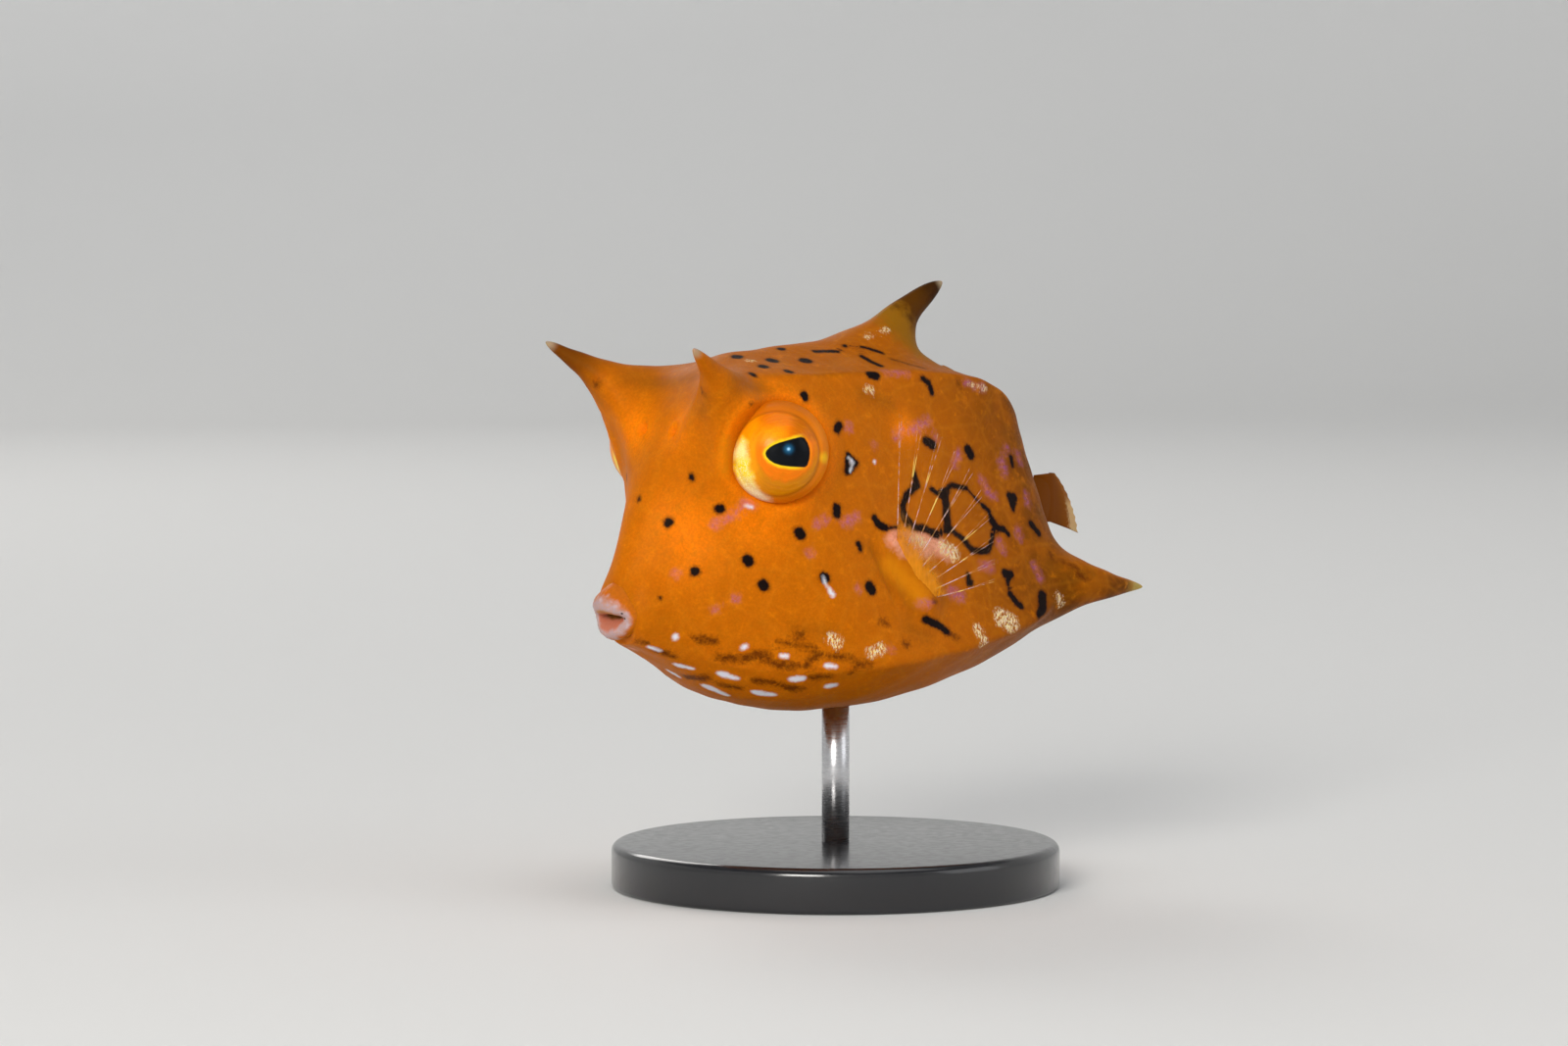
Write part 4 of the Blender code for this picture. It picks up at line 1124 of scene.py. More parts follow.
relief = math_node(tree, "ADD", times(tree, grain, 0.6), times(tree, seam, -0.8))
close_material(tree, {
    "Base Color": ground, "Roughness": ramp(tree, grain, 0.3, 0.7, 0.42, 0.58),
    "Normal": bumped(tree, relief, *SKIN_RELIEF),
    "Subsurface Weight": 0.3, "Subsurface Radius": SKIN_LIGHT, "Subsurface Scale": 0.8 * MM,
    "Specular IOR Level": 0.07, "Specular Tint": SKIN_GLOSS})
SKIN_FINISH = stuff
print("skin nodes:", len(tree.nodes))


def add_piece(name, mesh, finish, slot, *nodes, start=MOUTH):
    """A finished piece: its place goes into its mesh, and it rides and stands for its solids."""
    put_points(mesh, points_of(mesh) * MM + np.array(start))
    mesh.materials.clear()
    mesh.materials.append(finish)
    thing = add_object(name, mesh)
    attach(thing, "root")
    if nodes:
        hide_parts(*nodes)
    print(name, len(mesh.vertices), "points")


add_piece("skin", skin_mesh, SKIN_FINISH, "skin", "head", "trunk", "horn_left", "horn_right",
          "back_thorn", "hip_spine_left", "hip_spine_right")

# %% [markdown]
# ## The eyes
#
# Each eye is a ball of 5.8 mm, a fifth of the body's length. What shows is a disc ringed
# by a fold of skin: a gold crescent in front, an orange iris and a pupil pinched to a
# point at the front, with a bright thin rim. A ball with many rings about the way it
# looks carries these as distances, like the marks on the skin: they are drawn flat, on
# the picture's own plane, and hold at any size. The right eye is the left one, mirrored.

# %% Shapes on the eye
EYE_MIDDLE = (793.0, 463.0)       # pixels: middle of the eye's ring in the picture
IRIS_MIDDLE = (801.0, 462.0)
PUPIL = ((780.8, 462.6), (781.8, 459.6), (785.3, 456.2), (790, 453.4), (795.5, 451.2),
         (808, 447.6), (817.5, 445.4), (821.2, 446.4), (824.6, 451.5), (826.5, 457),
         (827, 462), (826.4, 468.5), (824.2, 475), (821.6, 476.9), (806.7, 476.3),
         (797, 475), (790, 472.8), (785, 469.6), (781.8, 466))
CRESCENT = ((757, 445), (751, 455), (748.6, 466), (750, 482), (756, 496), (764, 506), (776, 512),
            (787, 511), (777, 503), (770, 492), (765, 477), (761.5, 462), (761.5, 449))
GLEAM = (805.0, 458.0)
SPARK, SPARK_SHAPE = (841.0, 467.0), (1.2, 0.8)      # a yellow light behind the pupil
SPARK_FRONT = 0.3                                    # and only on the ball's front
BALL_SIDES, BALL_BANDS, BALL_CROWDING = 180, 110, 1.25


def outline_distance(places, outline):
    """Distance of each place to a closed outline on the picture, less than 0 inside it."""
    nearest = np.full(len(places), np.inf)
    inside = np.zeros(len(places), bool)
    x, y = places.T
    for (ax, ay), (bx, by) in zip(outline, outline[1:] + outline[:1]):
        run = np.array((bx - ax, by - ay))
        off = places - np.array((ax, ay))
        share = np.clip(off @ run / (run @ run), 0, 1)
        nearest = np.minimum(nearest, np.linalg.norm(off - share[:, None] * run, axis=1))
        crosses = (ay > y) != (by > y)
        if by != ay:
            inside ^= crosses & (x < ax + (y - ay) / (by - ay) * (bx - ax))
    return np.where(inside, -nearest, nearest)


def eye_ball():
    """A ball round the way that the left eye looks, with its rings closest in front."""
    aim = mirrored(GAZE).to_track_quat("Z", "Y").to_matrix()
    centre = mirrored(EYE_CENTRE)
    bm = bmesh.new()
    rings = []
    for i in range(BALL_BANDS + 1):
        fall = math.pi * (i / BALL_BANDS) ** BALL_CROWDING

        def place(turn):
            return centre + aim @ Vector((math.sin(fall) * math.cos(turn),
                                          math.sin(fall) * math.sin(turn),
                                          math.cos(fall))) * EYE_RADIUS
        rings.append(ring_of(bm, place, BALL_SIDES, i in (0, BALL_BANDS)))
    join_rings(bm, rings, BALL_SIDES)
    bmesh.ops.reverse_faces(bm, faces=bm.faces)
    return mesh_of("eyeball", bm)


def seen_from(spot, shape=(1.0, 1.0)):
    """How far each point of the eye seems to be from a pixel, in millimetres."""
    return np.linalg.norm((seen - np.array(spot)) * shape, axis=1) * PIXEL


eye_mesh = eye_ball()
eye_points = points_of(eye_mesh)
seen = pixels_of(eye_points)
outward = (eye_points - np.array(mirrored(EYE_CENTRE))) / EYE_RADIUS
front = outward @ np.array(mirrored(GAZE))
shapes = {"pupil": outline_distance(seen, PUPIL) * PIXEL,
          "crescent": outline_distance(seen, CRESCENT) * PIXEL,
          "iris": seen_from(IRIS_MIDDLE), "ring": seen_from(EYE_MIDDLE),
          "gleam": seen_from(GLEAM), "spark": seen_from(SPARK, SPARK_SHAPE)}
shapes["spark"][front < SPARK_FRONT] = NOWHERE
for values in shapes.values():
    values[front < 0.0] = NOWHERE
shapes["level"] = (EYE_MIDDLE[1] - seen[:, 1]) * PIXEL
shapes["fore"] = (EYE_MIDDLE[0] - seen[:, 0]) * PIXEL
print("eye:", len(eye_points), "points, of which pupil", int((shapes["pupil"] < 0).sum()))

# %% [markdown]
# The rim of skin round the disc is a low roll with a groove inside it, and the pupil is a
# shallow pit with a crisp edge. Both are small moves in or out from the ball's centre. They
# could be bumps in the material, but then the glints would not bend over them.

# %% Roll, groove and pupil pit
ROLL, GROOVE = (0.03, 2.72, 0.15), (-0.04, 2.46, 0.08)
RIPPLE_RISE, RIPPLE_WAVES, RIPPLE_AT, RIPPLE_WIDTH = 0.008, 21.0, 1.95, 0.45
PIT_DEPTH, PIT_EDGE = 0.07, 0.03
FRONT_FADE = 0.2          # the relief dies out towards the ball's sides

ripple = np.sin(shapes["iris"] * RIPPLE_WAVES) * hump(shapes["iris"] - RIPPLE_AT, RIPPLE_WIDTH)
rise = fold(shapes["ring"], ROLL) + fold(shapes["ring"], GROOVE) + RIPPLE_RISE * ripple
rise -= PIT_DEPTH / (1 + np.exp(shapes["pupil"] / PIT_EDGE))
rise *= np.clip(front / FRONT_FADE, 0.0, 1.0)
eye_points += outward * rise[:, None]
put_points(eye_mesh, eye_points)
for name, values in shapes.items():
    store(eye_mesh, name, values)
print("relief from", round(float(rise.min()), 3), "to", round(float(rise.max()), 3), "mm")

# %% [markdown]
# The iris is laid in like the skin, from its broad tones to its fine rings. Level counts
# up from the eye's middle and fore counts forward, so that a light can sit over the pupil
# or in front of it. A thin clear coat over the disc, and none on the skin round it, makes
# the eye the one wet thing on the fish.

# %% Eye: iris
EYE_FRONT, IRIS_ORANGE = (1.0, 0.36, 0.002), (0.92, 0.19, 0.001)
IRIS_LOW, IRIS_TOP, IRIS_CLOUD = (0.66, 0.22, 0.002), (0.80, 0.18, 0.001), (0.62, 0.17, 0.001)
SHEEN_YELLOW, REAR_AMBER = (1.0, 0.40, 0.003), (0.42, 0.105, 0.001)
IRIS_LINES = ((17.0, 0.16, (0.62, 0.13, 0.001)), (33.0, 0.12, (1.0, 0.42, 0.006)))

stuff, tree = new_material("eye")
place = fish_place(tree)
grain = noise(tree, place, 12.0, 2.0, 0.7)
soft = noise(tree, place, 2.2, 3.0)
level, fore, iris = field(tree, "level"), field(tree, "fore"), field(tree, "iris")
ring, pupil, gleam = field(tree, "ring"), field(tree, "pupil"), field(tree, "gleam")
sheen = times(tree, ramp(tree, level, 0.3, 0.8), ramp(tree, level, 1.9, 1.2))
sheen = times(tree, sheen, times(tree, ramp(tree, fore, -0.9, -0.1), ramp(tree, fore, 1.3, 0.6)))
amber = times(tree, ramp(tree, level, 0.6, 1.0), ramp(tree, fore, -0.5, -1.2))
colour = layered(
    tree, IRIS_LOW,
    (ramp(tree, level, -1.0, 1.2), IRIS_TOP),
    (ramp(tree, fore, 0.6, 1.5, 0.0, 0.85), EYE_FRONT),
    (ramp(tree, scaled(tree, soft, 0.3, iris), 1.95, 1.65, 0.0, 0.9), IRIS_ORANGE),
    (ramp(tree, soft, 0.5, 0.75, 0.0, 0.35), IRIS_CLOUD),
    (times(tree, sheen, ramp(tree, grain, 0.3, 0.6, 0.4, 0.8)), SHEEN_YELLOW),
    (times(tree, amber, 0.6), REAR_AMBER))
bent = scaled(tree, soft, 0.5, iris)
for waves, share, tint in IRIS_LINES:
    lines = math_node(tree, "SINE", times(tree, bent, waves))
    colour = blend(tree, ramp(tree, lines, 0.2, 1.0, 0.0, share), colour, tint)
print("iris laid in")

# %% [markdown]
# Over the iris go the skin of the roll, the gold crescent, the yellow rim of the pupil and
# at last the pupil, with the blue light of the lamp's reflection deep inside it. That light
# is in the picture whatever the lamps do here, so it is painted and not left to chance.

# %% Eye: roll, crescent and pupil
GOLD, GOLD_WHITE, GOLD_LOW = (1.0, 0.74, 0.012), (1.0, 0.97, 0.62), (0.80, 0.58, 0.36)
GOLD_BRIGHT, SPARK_YELLOW, RIM_YELLOW = (1.0, 0.93, 0.42), (1.0, 0.52, 0.01), (1.0, 0.66, 0.01)
# the roll is lighter at the back of the eye: a painted glow there
ROLL_FRONT, ROLL_REAR = (0.70, 0.168, 0.001), (0.90, 0.235, 0.002)
# painted shade in the groove inside the roll
GROOVE_SHADE = (0.34, 0.08, 0.001)
PUPIL_BLACK, PUPIL_BLUE, PUPIL_LIGHT = (0.002, 0.003, 0.005), (0.02, 0.16, 0.33), (0.40, 0.72, 1.0)
CRESCENT_LEVEL, GROOVE_SEEN = 0.2, 2.47
EYE_LIGHT = (0.8, 0.3, 0.08)


def off_line(value, line):
    """How far a value is from a line, to either side."""
    return math_node(tree, "ABSOLUTE", math_node(tree, "SUBTRACT", value, line))


moon = layered(
    tree, GOLD_LOW,
    (ramp(tree, level, -2.5, -0.9), GOLD),
    (ramp(tree, grain, 0.50, 0.64, 0.0, 0.85), GOLD_WHITE),
    (ramp(tree, off_line(level, CRESCENT_LEVEL), 0.8, 0.1, 0.0, 0.7), GOLD_BRIGHT))
moon_edge = scaled(tree, soft, 0.4, scaled(tree, grain, 0.4, field(tree, "crescent")))
moon_share = times(tree, ramp(tree, moon_edge, 0.62, 0.20), ramp(tree, ring, 2.92, 2.66))
roll = layered(
    # lighter at the back of the roll: painted glow
    tree, ROLL_REAR,
    (ramp(tree, fore, -2.6, -1.2), ROLL_FRONT),
    (ramp(tree, grain, 0.3, 0.75, 0.12, 0.0), GRAIN_DARK))
near_pupil = scaled(tree, soft, 0.12, pupil)
rim = times(tree, ramp(tree, near_pupil, 0.30, 0.06), ramp(tree, fore, -1.8, -0.9, 0.05, 1.0))
deep = layered(
    tree, PUPIL_BLACK,
    (math_node(tree, "POWER", ramp(tree, gleam, 0.55, 0.0), 2.0), PUPIL_BLUE),
    (ramp(tree, gleam, 0.15, 0.0), PUPIL_LIGHT))
colour = layered(
    tree, colour,
    (ramp(tree, ring, 2.36, 2.60), roll),
    # painted shade along the groove
    (ramp(tree, off_line(ring, GROOVE_SEEN), 0.12, 0.0, 0.0, 0.45), GROOVE_SHADE),
    (moon_share, moon),
    (ramp(tree, field(tree, "spark"), 0.40, 0.05), SPARK_YELLOW),
    (rim, RIM_YELLOW),
    (ramp(tree, pupil, 0.03, -0.03), deep))
close_material(tree, {
    "Base Color": colour, "Roughness": ramp(tree, ring, 2.4, 2.5, 0.28, 0.42),
    "Specular IOR Level": 0.08, "Normal": bumped(tree, grain, 0.02, 0.3),
    "Coat Weight": ramp(tree, ring, 2.5, 2.2, 0.0, 0.16), "Coat Roughness": 0.07,
    "Coat IOR": 1.36, "Subsurface Weight": 0.12, "Subsurface Radius": EYE_LIGHT,
    "Subsurface Scale": 0.5 * MM})

right_eye = eye_mesh.copy()
put_points(right_eye, eye_points * (1, -1, 1))
right_eye.flip_normals()
add_piece("eyeball_left", eye_mesh, stuff, "eyes", "eye_left")
add_piece("eyeball_right", right_eye, stuff, "eyes", "eye_right")

# %% [markdown]
# ## The lips
#
# The mouth is a small slit between thick pinkish lips that stand out from the snout.
# They are rings of points from a wide seat to the narrow slit, as the solid's are, with
# more points, drawn to a corner at each side, and fine creases that run in to the mouth.

# %% Lips: form
LIPS = (     # half width, half height and rise of each ring
    (1.70, 1.35, -1.00), (1.88, 1.50, -0.62), (1.84, 1.46, -0.26), (1.79, 1.42, 0.10),
    (1.74, 1.38, 0.44), (1.67, 1.31, 0.74), (1.55, 1.18, 0.97), (1.39, 1.00, 1.12),
    (1.22, 0.80, 1.18), (1.08, 0.58, 1.12), (0.98, 0.38, 0.92), (0.90, 0.24, 0.66),
    (0.82, 0.14, 0.40), (0.74, 0.09, 0.14))
LIP_SIDES, LIP_LEVELS = 96, 1
CORNER_FALL, CORNER_POINT = 0.5, 1.3
CREASE_DEPTH, CREASE_START, CREASE_GROWTH = 0.009, 3, 3
UPPER_LIP_RISE = 0.30     # how much taller the muzzle is over the mouth than under it
LIP_DOTS = ((634.6, 626), (637.4, 631))       # two dark specks at the corner, in pixels

facing_turn = LIPS_FACING.to_track_quat("Z", "Y").to_matrix()
across = facing_turn.inverted() @ Vector((0, 1, 0))
facing_turn = facing_turn @ Matrix.Rotation(math.atan2(across.y, across.x), 3, "Z")


def lip_point(i, turn):
    """A point of ring i at a turn about the way that the mouth faces."""
    half_width, half_height, rise = LIPS[i]
    waves = math.cos(23 * turn) + math.cos(17 * turn + 1.3) + math.sin(31 * turn + 0.4 * i)
    growth = min(1.0, max(0, i - CREASE_START) / CREASE_GROWTH)
    crease = 1 - CREASE_DEPTH * waves * growth
    fall = CORNER_FALL * rise * math.cos(turn) ** 4
    wide = half_width * math.copysign(abs(math.cos(turn)) ** CORNER_POINT, math.cos(turn))
    upper = max(0.0, -math.sin(turn)) * (1 - i / (len(LIPS) - 1))
    tall = half_height * (1 + UPPER_LIP_RISE * upper) * math.sin(turn)
    return LIPS_AT + facing_turn @ Vector((wide * crease, tall * crease, rise - fall))


def lips_cage():
    """The lips as rings. inner is 0 at the seat and 1 at the slit; upper is the height."""
    bm = bmesh.new()
    inner = bm.verts.layers.float.new("inner")
    upper = bm.verts.layers.float.new("upper")
    rings = []
    for i in range(len(LIPS)):
        def place(turn):
            return lip_point(i, turn)
        row = ring_of(bm, place, LIP_SIDES, False)
        for v in row:
            v[inner], v[upper] = i / (len(LIPS) - 1), v.co.z - LIPS_AT.z
        rings.append(row)
    join_rings(bm, rings, LIP_SIDES)
    bm.faces.new(reversed(rings[0]))
    bm.faces.new(rings[-1])
    bmesh.ops.recalc_face_normals(bm, faces=bm.faces)
    return bm


lips_mesh = rounded("lips", lips_cage(), LIP_LEVELS)
lips_tree = tree_of(lips_mesh)
lip_points = points_of(lips_mesh)
dots = [lips_tree.ray_cast(eye_point, sight(*dot))[0] for dot in LIP_DOTS]
store(lips_mesh, "dot", np.min([from_point(lip_points, dot) for dot in dots if dot], axis=0))
print("lips:", len(lip_points), "points,", len(dots), "dots")

# %% [markdown]
# The colour follows the way in: the face's orange at the seat, a lilac white band with
# whiter patches of painted highlight, salmon below and amber above inside the mouth, and
# painted shade in the slit.

# %% Lips: finish
# the last of these three is the colour of painted highlights on the lips
LIP_ROSE, LIP_ORANGE, LIP_WHITE = (0.46, 0.33, 0.34), (0.56, 0.28, 0.16), (0.60, 0.52, 0.58)
MOUTH_SALMON, MOUTH_AMBER = (0.52, 0.17, 0.10), (0.50, 0.22, 0.03)
# the first of these is painted shade in the mouth's slit
SLIT_SHADE, DOT_BROWN = (0.24, 0.095, 0.015), (0.05, 0.02, 0.01)
LIP_LIGHT = (1.0, 0.45, 0.3)

stuff, tree = new_material("lips")
place = fish_place(tree)
grain = noise(tree, place, 9.0, 3.0)
blur = noise(tree, place, 2.5, 3.0)
inner = scaled(tree, blur, 0.24, math_node(tree, "ADD", field(tree, "inner"), -0.12))
inside = blend(tree, ramp(tree, field(tree, "upper"), -0.15, 0.35), MOUTH_SALMON, MOUTH_AMBER)
outside = blend(tree, ramp(tree, noise(tree, place, 7.0, 2.0, 0.6), 0.3, 0.75, 0.25, 0.0),
                FACE, GRAIN_DARK)
colour = layered(
    tree, LIP_ROSE,
    (ramp(tree, grain, 0.42, 0.62, 0.0, 0.45), LIP_ORANGE),
    # whiter patches: painted highlight
    (ramp(tree, blur, 0.5, 0.68, 0.0, 0.4), LIP_WHITE),
    (ramp(tree, inner, 0.36, 0.54, 1.0, 0.0), outside),
    (ramp(tree, inner, 0.62, 0.74), inside),
    # painted shade in the slit
    (ramp(tree, inner, 0.88, 0.99), SLIT_SHADE),
    (ramp(tree, field(tree, "dot"), 0.10, 0.05), DOT_BROWN))
close_material(tree, {
    "Base Color": colour, "Roughness": 0.46, "Normal": bumped(tree, grain, 0.03, 0.4),
    "Subsurface Weight": 0.4, "Subsurface Radius": LIP_LIGHT, "Subsurface Scale": 0.6 * MM,
    "Specular IOR Level": 0.12})
add_piece("mouth", lips_mesh, stuff, "lips", "lips")

# %% [markdown]
# ## The tail stem
#
# The stem swings the tail to the fish's right. It could be bent by a bone, but the bend
# never moves, so rings along a short arc make it. They start inside the case's opening and
# run on into the tail fin, where the stem thins to nothing so that no step shows.

# %% Tail stem
SWING_START, SWING_RADIUS, SWING_LENGTH, TAIL_DROOP = 32.7, 6.4, 3.3, 0.1
STEM_START, STEM_STEPS, STEM_MIDDLE, STEM_LEVELS = 29.6, 11, 5.35, 3
STEM_FULLNESS, STEM_END_FULLNESS, STEM_FLARE = 0.97, 0.85, 0.14
STEM_PAST, STEM_THINNING = 2.3, 0.95     # the stem runs on into the fin as a wedge
STEM_EASE = 0.2           # share of its length at which it starts to thin


def swung(point):
    """Carries a point of the straight tail to its place in the tail that swings right."""
    run = max(0.0, point.x - SWING_START)
    if run == 0.0:
        return point.copy()
    turn = min(run, SWING_LENGTH) / SWING_RADIUS
    past = max(0.0, run - SWING_LENGTH)
    x = SWING_START + (SWING_RADIUS - point.y) * math.sin(turn) + past * math.cos(turn)
    y = SWING_RADIUS - (SWING_RADIUS - point.y) * math.cos(turn) + past * math.sin(turn)
    return Vector((x, y, point.z - past * TAIL_DROOP))


def stem_cage():
    """The tail stem as rings, from inside the case to the tail fin's root."""
    bm = bmesh.new()
    root, end = full_ring(half_ring(STEM_RING)), full_ring(half_ring(len(BACK) - 1))
    rings = []
    for i in range(STEM_STEPS + 1):
        share = i / STEM_STEPS
        full = STEM_END_FULLNESS if i == STEM_STEPS else STEM_FULLNESS
        points = []
        for a, b in zip(root, end):
            point = a.lerp(b, share)
            point.x = STEM_START + (b.x + STEM_PAST - STEM_START) * share
            axis = Vector((point.x, 0.0, STEM_MIDDLE))
            point = axis + (point - axis) * full
            point.z += (point.z - STEM_MIDDLE) * STEM_FLARE * share ** 2
            ease = max(0.0, share - STEM_EASE) / (1 - STEM_EASE)
            point.y *= 1 - STEM_THINNING * ease * ease * (3 - 2 * ease)
            points.append(bm.verts.new(swung(point)))
        rings.append(points)
    loft(bm, rings)
    bmesh.ops.recalc_face_normals(bm, faces=bm.faces)
    return bm


stem_mesh = rounded("stem", stem_cage(), STEM_LEVELS)
print("stem:", len(stem_mesh.vertices), "points")

# %% [markdown]
# Stem and tail fin are one flesh, so they share one finish, matt and darker than the body.
# The fin's lower corner is worn pale: one ramp on the height and one on the way out pick
# that corner, and a noise frays its edge.

# %% Tail finish
TAIL_FOOT, TAIL_REAR, TAIL_WORN = (0.175, 0.044, 0.001), (0.235, 0.064, 0.001), (0.60, 0.38, 0.17)
TAIL_LIGHT = (1.0, 0.3, 0.08)

stuff, tree = new_material("tail_fin_skin")
place = fish_place(tree)
grain = noise(tree, place, 6.0, 3.0)
reach = field(tree, "reach")
worn = times(tree, ramp(tree, scaled(tree, grain, 0.4, reach), 0.78, 0.94),
             ramp(tree, axes_of(tree, place)[2], 5.3, 4.5, 0.1, 1.0))
colour = layered(tree, TAIL_FOOT, (ramp(tree, reach, 0.1, 0.7), TAIL_REAR), (worn, TAIL_WORN))
close_material(tree, {
    "Base Color": colour, "Roughness": 0.75, "Specular IOR Level": 0.03,
    "Subsurface Weight": 0.2, "Subsurface Radius": TAIL_LIGHT, "Subsurface Scale": 0.5 * MM,
    "Normal": bumped(tree, grain, 0.04, 0.5)})
TAIL_FINISH = stuff
add_piece("tail_stem", stem_mesh, TAIL_FINISH, "skin", "tail_peduncle")

# %% [markdown]
# ## The fins
#
# A fin is a clear skin on fine rays, which split once on the way out. One flat card with
# a picture would show its thinness from the side. So the skin is a thin closed sheet,
# almost glass except at the fleshy base, and the rays are tubes along paths on it. First
# comes the plan of each fin, as in the solids: roots, rays, the way out and the bow.

# %% Plans of the fins
FIN_LOBE, FIN_SEAT, FIN_SCALLOP = 0.4, 0.5, 0.94
SIDE_FIN_LEANS, SIDE_FIN_TILT, SIDE_FIN_LIFT = (-0.32, 1.35), 0.38, 0.15
SIDE_FIN_LENGTHS, SIDE_FIN_BOW, SIDE_FIN_RAYS = (8.6, 4.0), (0.35, 0.55), 10
DORSAL_ROOTS, DORSAL_WAYS = (26.4, 28.3), ((0.62, 0.75, 0.02), (0.92, 0.36, -0.22))
DORSAL_LENGTHS, DORSAL_OUT, DORSAL_BOW = (5.0, 3.9), (0.35, 0.0, 0.94), (0.2, 0.0, -0.3)
ANAL_ROOTS, ANAL_WAYS = (-0.3, 2.0), ((0.75, 0.62, -0.2), (0.78, 0.6, 0.15))
ANAL_LENGTHS, ANAL_OUT, ANAL_BOW = (4.6, 3.6), (1.0, 0.0, 0.0), (0.2, 0.2, 0.0)
MIDDLE_FIN_RAYS = 9
TAIL_ROOT_HALF, TAIL_LEANS, TAIL_LENGTHS, TAIL_GAP = 1.42, (0.05, -0.08), (2.5, 7.25), 0.3
TAIL_ROUNDING, TAIL_BOW = 0.05, (0.0, 0.25, 0.0)
TAIL_FIN = "caudal_fin"


def even(first, last, count):
    """Evenly spaced points or numbers from first to last."""
    return [first + (last - first) * (i / (count - 1)) for i in range(count)]


def side_fin_plan(side):
    """Roots, outward way, rays and bow of the fin behind the gill slit on one side."""
    first, last = (skin_point(case_tree, (x, side * FAR, z), (0, -side, 0))
                   for x, z in SIDE_FIN_ROOTS)
    level, off = math.cos(SIDE_FIN_TILT), math.sin(SIDE_FIN_TILT)
    rays = []
    for lean, length in zip(even(*SIDE_FIN_LEANS, SIDE_FIN_RAYS),
                            even(*SIDE_FIN_LENGTHS, SIDE_FIN_RAYS)):
        way = Vector((math.sin(lean) * level, side * off, math.cos(lean) * level))
        rays.append(way * length)
    outward = Vector((0.0, side, SIDE_FIN_LIFT)).normalized()
    bow = Vector((SIDE_FIN_BOW[0], -side * SIDE_FIN_BOW[1], 0.0))
    return even(first, last, SIDE_FIN_RAYS), outward, rays, bow


def middle_fin_plan(first, last, outward, ways, lengths, bow):
    """Roots, outward way, rays and bow of a fin on the middle line."""
    between = even(Vector(ways[0]), Vector(ways[1]), MIDDLE_FIN_RAYS)
    rays = [way.normalized() * length
            for way, length in zip(between, even(*lengths, MIDDLE_FIN_RAYS))]
    return even(first, last, MIDDLE_FIN_RAYS), Vector(outward), rays, Vector(bow)


def tail_fin_plan():
    """Roots, outward way, rays and bow of the tail fin before it is swung."""
    start = BACK[-1][0] + TAIL_GAP + FIN_SEAT
    top, foot = (Vector((start, 0.0, STEM_MIDDLE + s * TAIL_ROOT_HALF)) for s in (1, -1))
    lengths, rays = even(*TAIL_LENGTHS, MIDDLE_FIN_RAYS), []
    for i, lean in enumerate(even(*TAIL_LEANS, MIDDLE_FIN_RAYS)):
        length = lengths[i] - TAIL_ROUNDING * (i - MIDDLE_FIN_RAYS // 2) ** 2
        rays.append(Vector((math.cos(lean), 0.0, math.sin(lean))) * length)
    return even(top, foot, MIDDLE_FIN_RAYS), Vector((1.0, 0.0, 0.0)), rays, Vector(TAIL_BOW)


dorsal = [skin_point(skin_tree, (x, 0, THORN[0][0][2]), (0, 0, -1)) for x in DORSAL_ROOTS]
anal = [skin_point(skin_tree, (FAR, 0, z), (-1, 0, 0)) for z in ANAL_ROOTS]
FINS = {
    "pectoral_fin_left": side_fin_plan(-1),
    "pectoral_fin_right": side_fin_plan(1),
    "dorsal_fin": middle_fin_plan(*dorsal, DORSAL_OUT, DORSAL_WAYS, DORSAL_LENGTHS, DORSAL_BOW),
    "anal_fin": middle_fin_plan(*anal, ANAL_OUT, ANAL_WAYS, ANAL_LENGTHS, ANAL_BOW),
    TAIL_FIN: tail_fin_plan(),
}


def fin_place(plan, across, share, scallop=FIN_SCALLOP):
    """A point on a fin: across counts rays, share runs from the foot (0) to the edge (1)."""
    roots, outward, rays, bow = plan
    i = min(int(across), len(roots) - 2)
    part = across - i
    root, ray = roots[i].lerp(roots[i + 1], part), rays[i].lerp(rays[i + 1], part)
    ray = ray * (1 - (1 - scallop) * math.sin(math.pi * part) ** 2)
    if share < 0:
        return root + outward * (FIN_LOBE + share)
    return root + outward * FIN_LOBE + ray * share + bow * share * share


print("fins:", ", ".join(FINS))

# %% [markdown]
# The sheet of a fin is a grid over that plan, given a thickness that falls from the
# fleshy foot to the edge. It stores its place between foot and edge for the shader.

# %% Sheets of the fins
SHEET_STEPS, SHEET_BETWEEN, THIN_AT = 18, 4, 0.35
FOOT_THICK, SHEET_THICK, EDGE_THICK, FOOT_POINT = 0.6, 0.1, 0.03, 0.15
TAIL_FOOT_THICK, TAIL_THIN_AT, TAIL_SCALLOP, TAIL_SEAT = 0.5, 0.97, 0.96, 2.1
SIDE_SEAT = 0.9
FADE_POWER, SIDE_SHARE = 0.6, 0.4      # how the foot thins outwards and to the sides


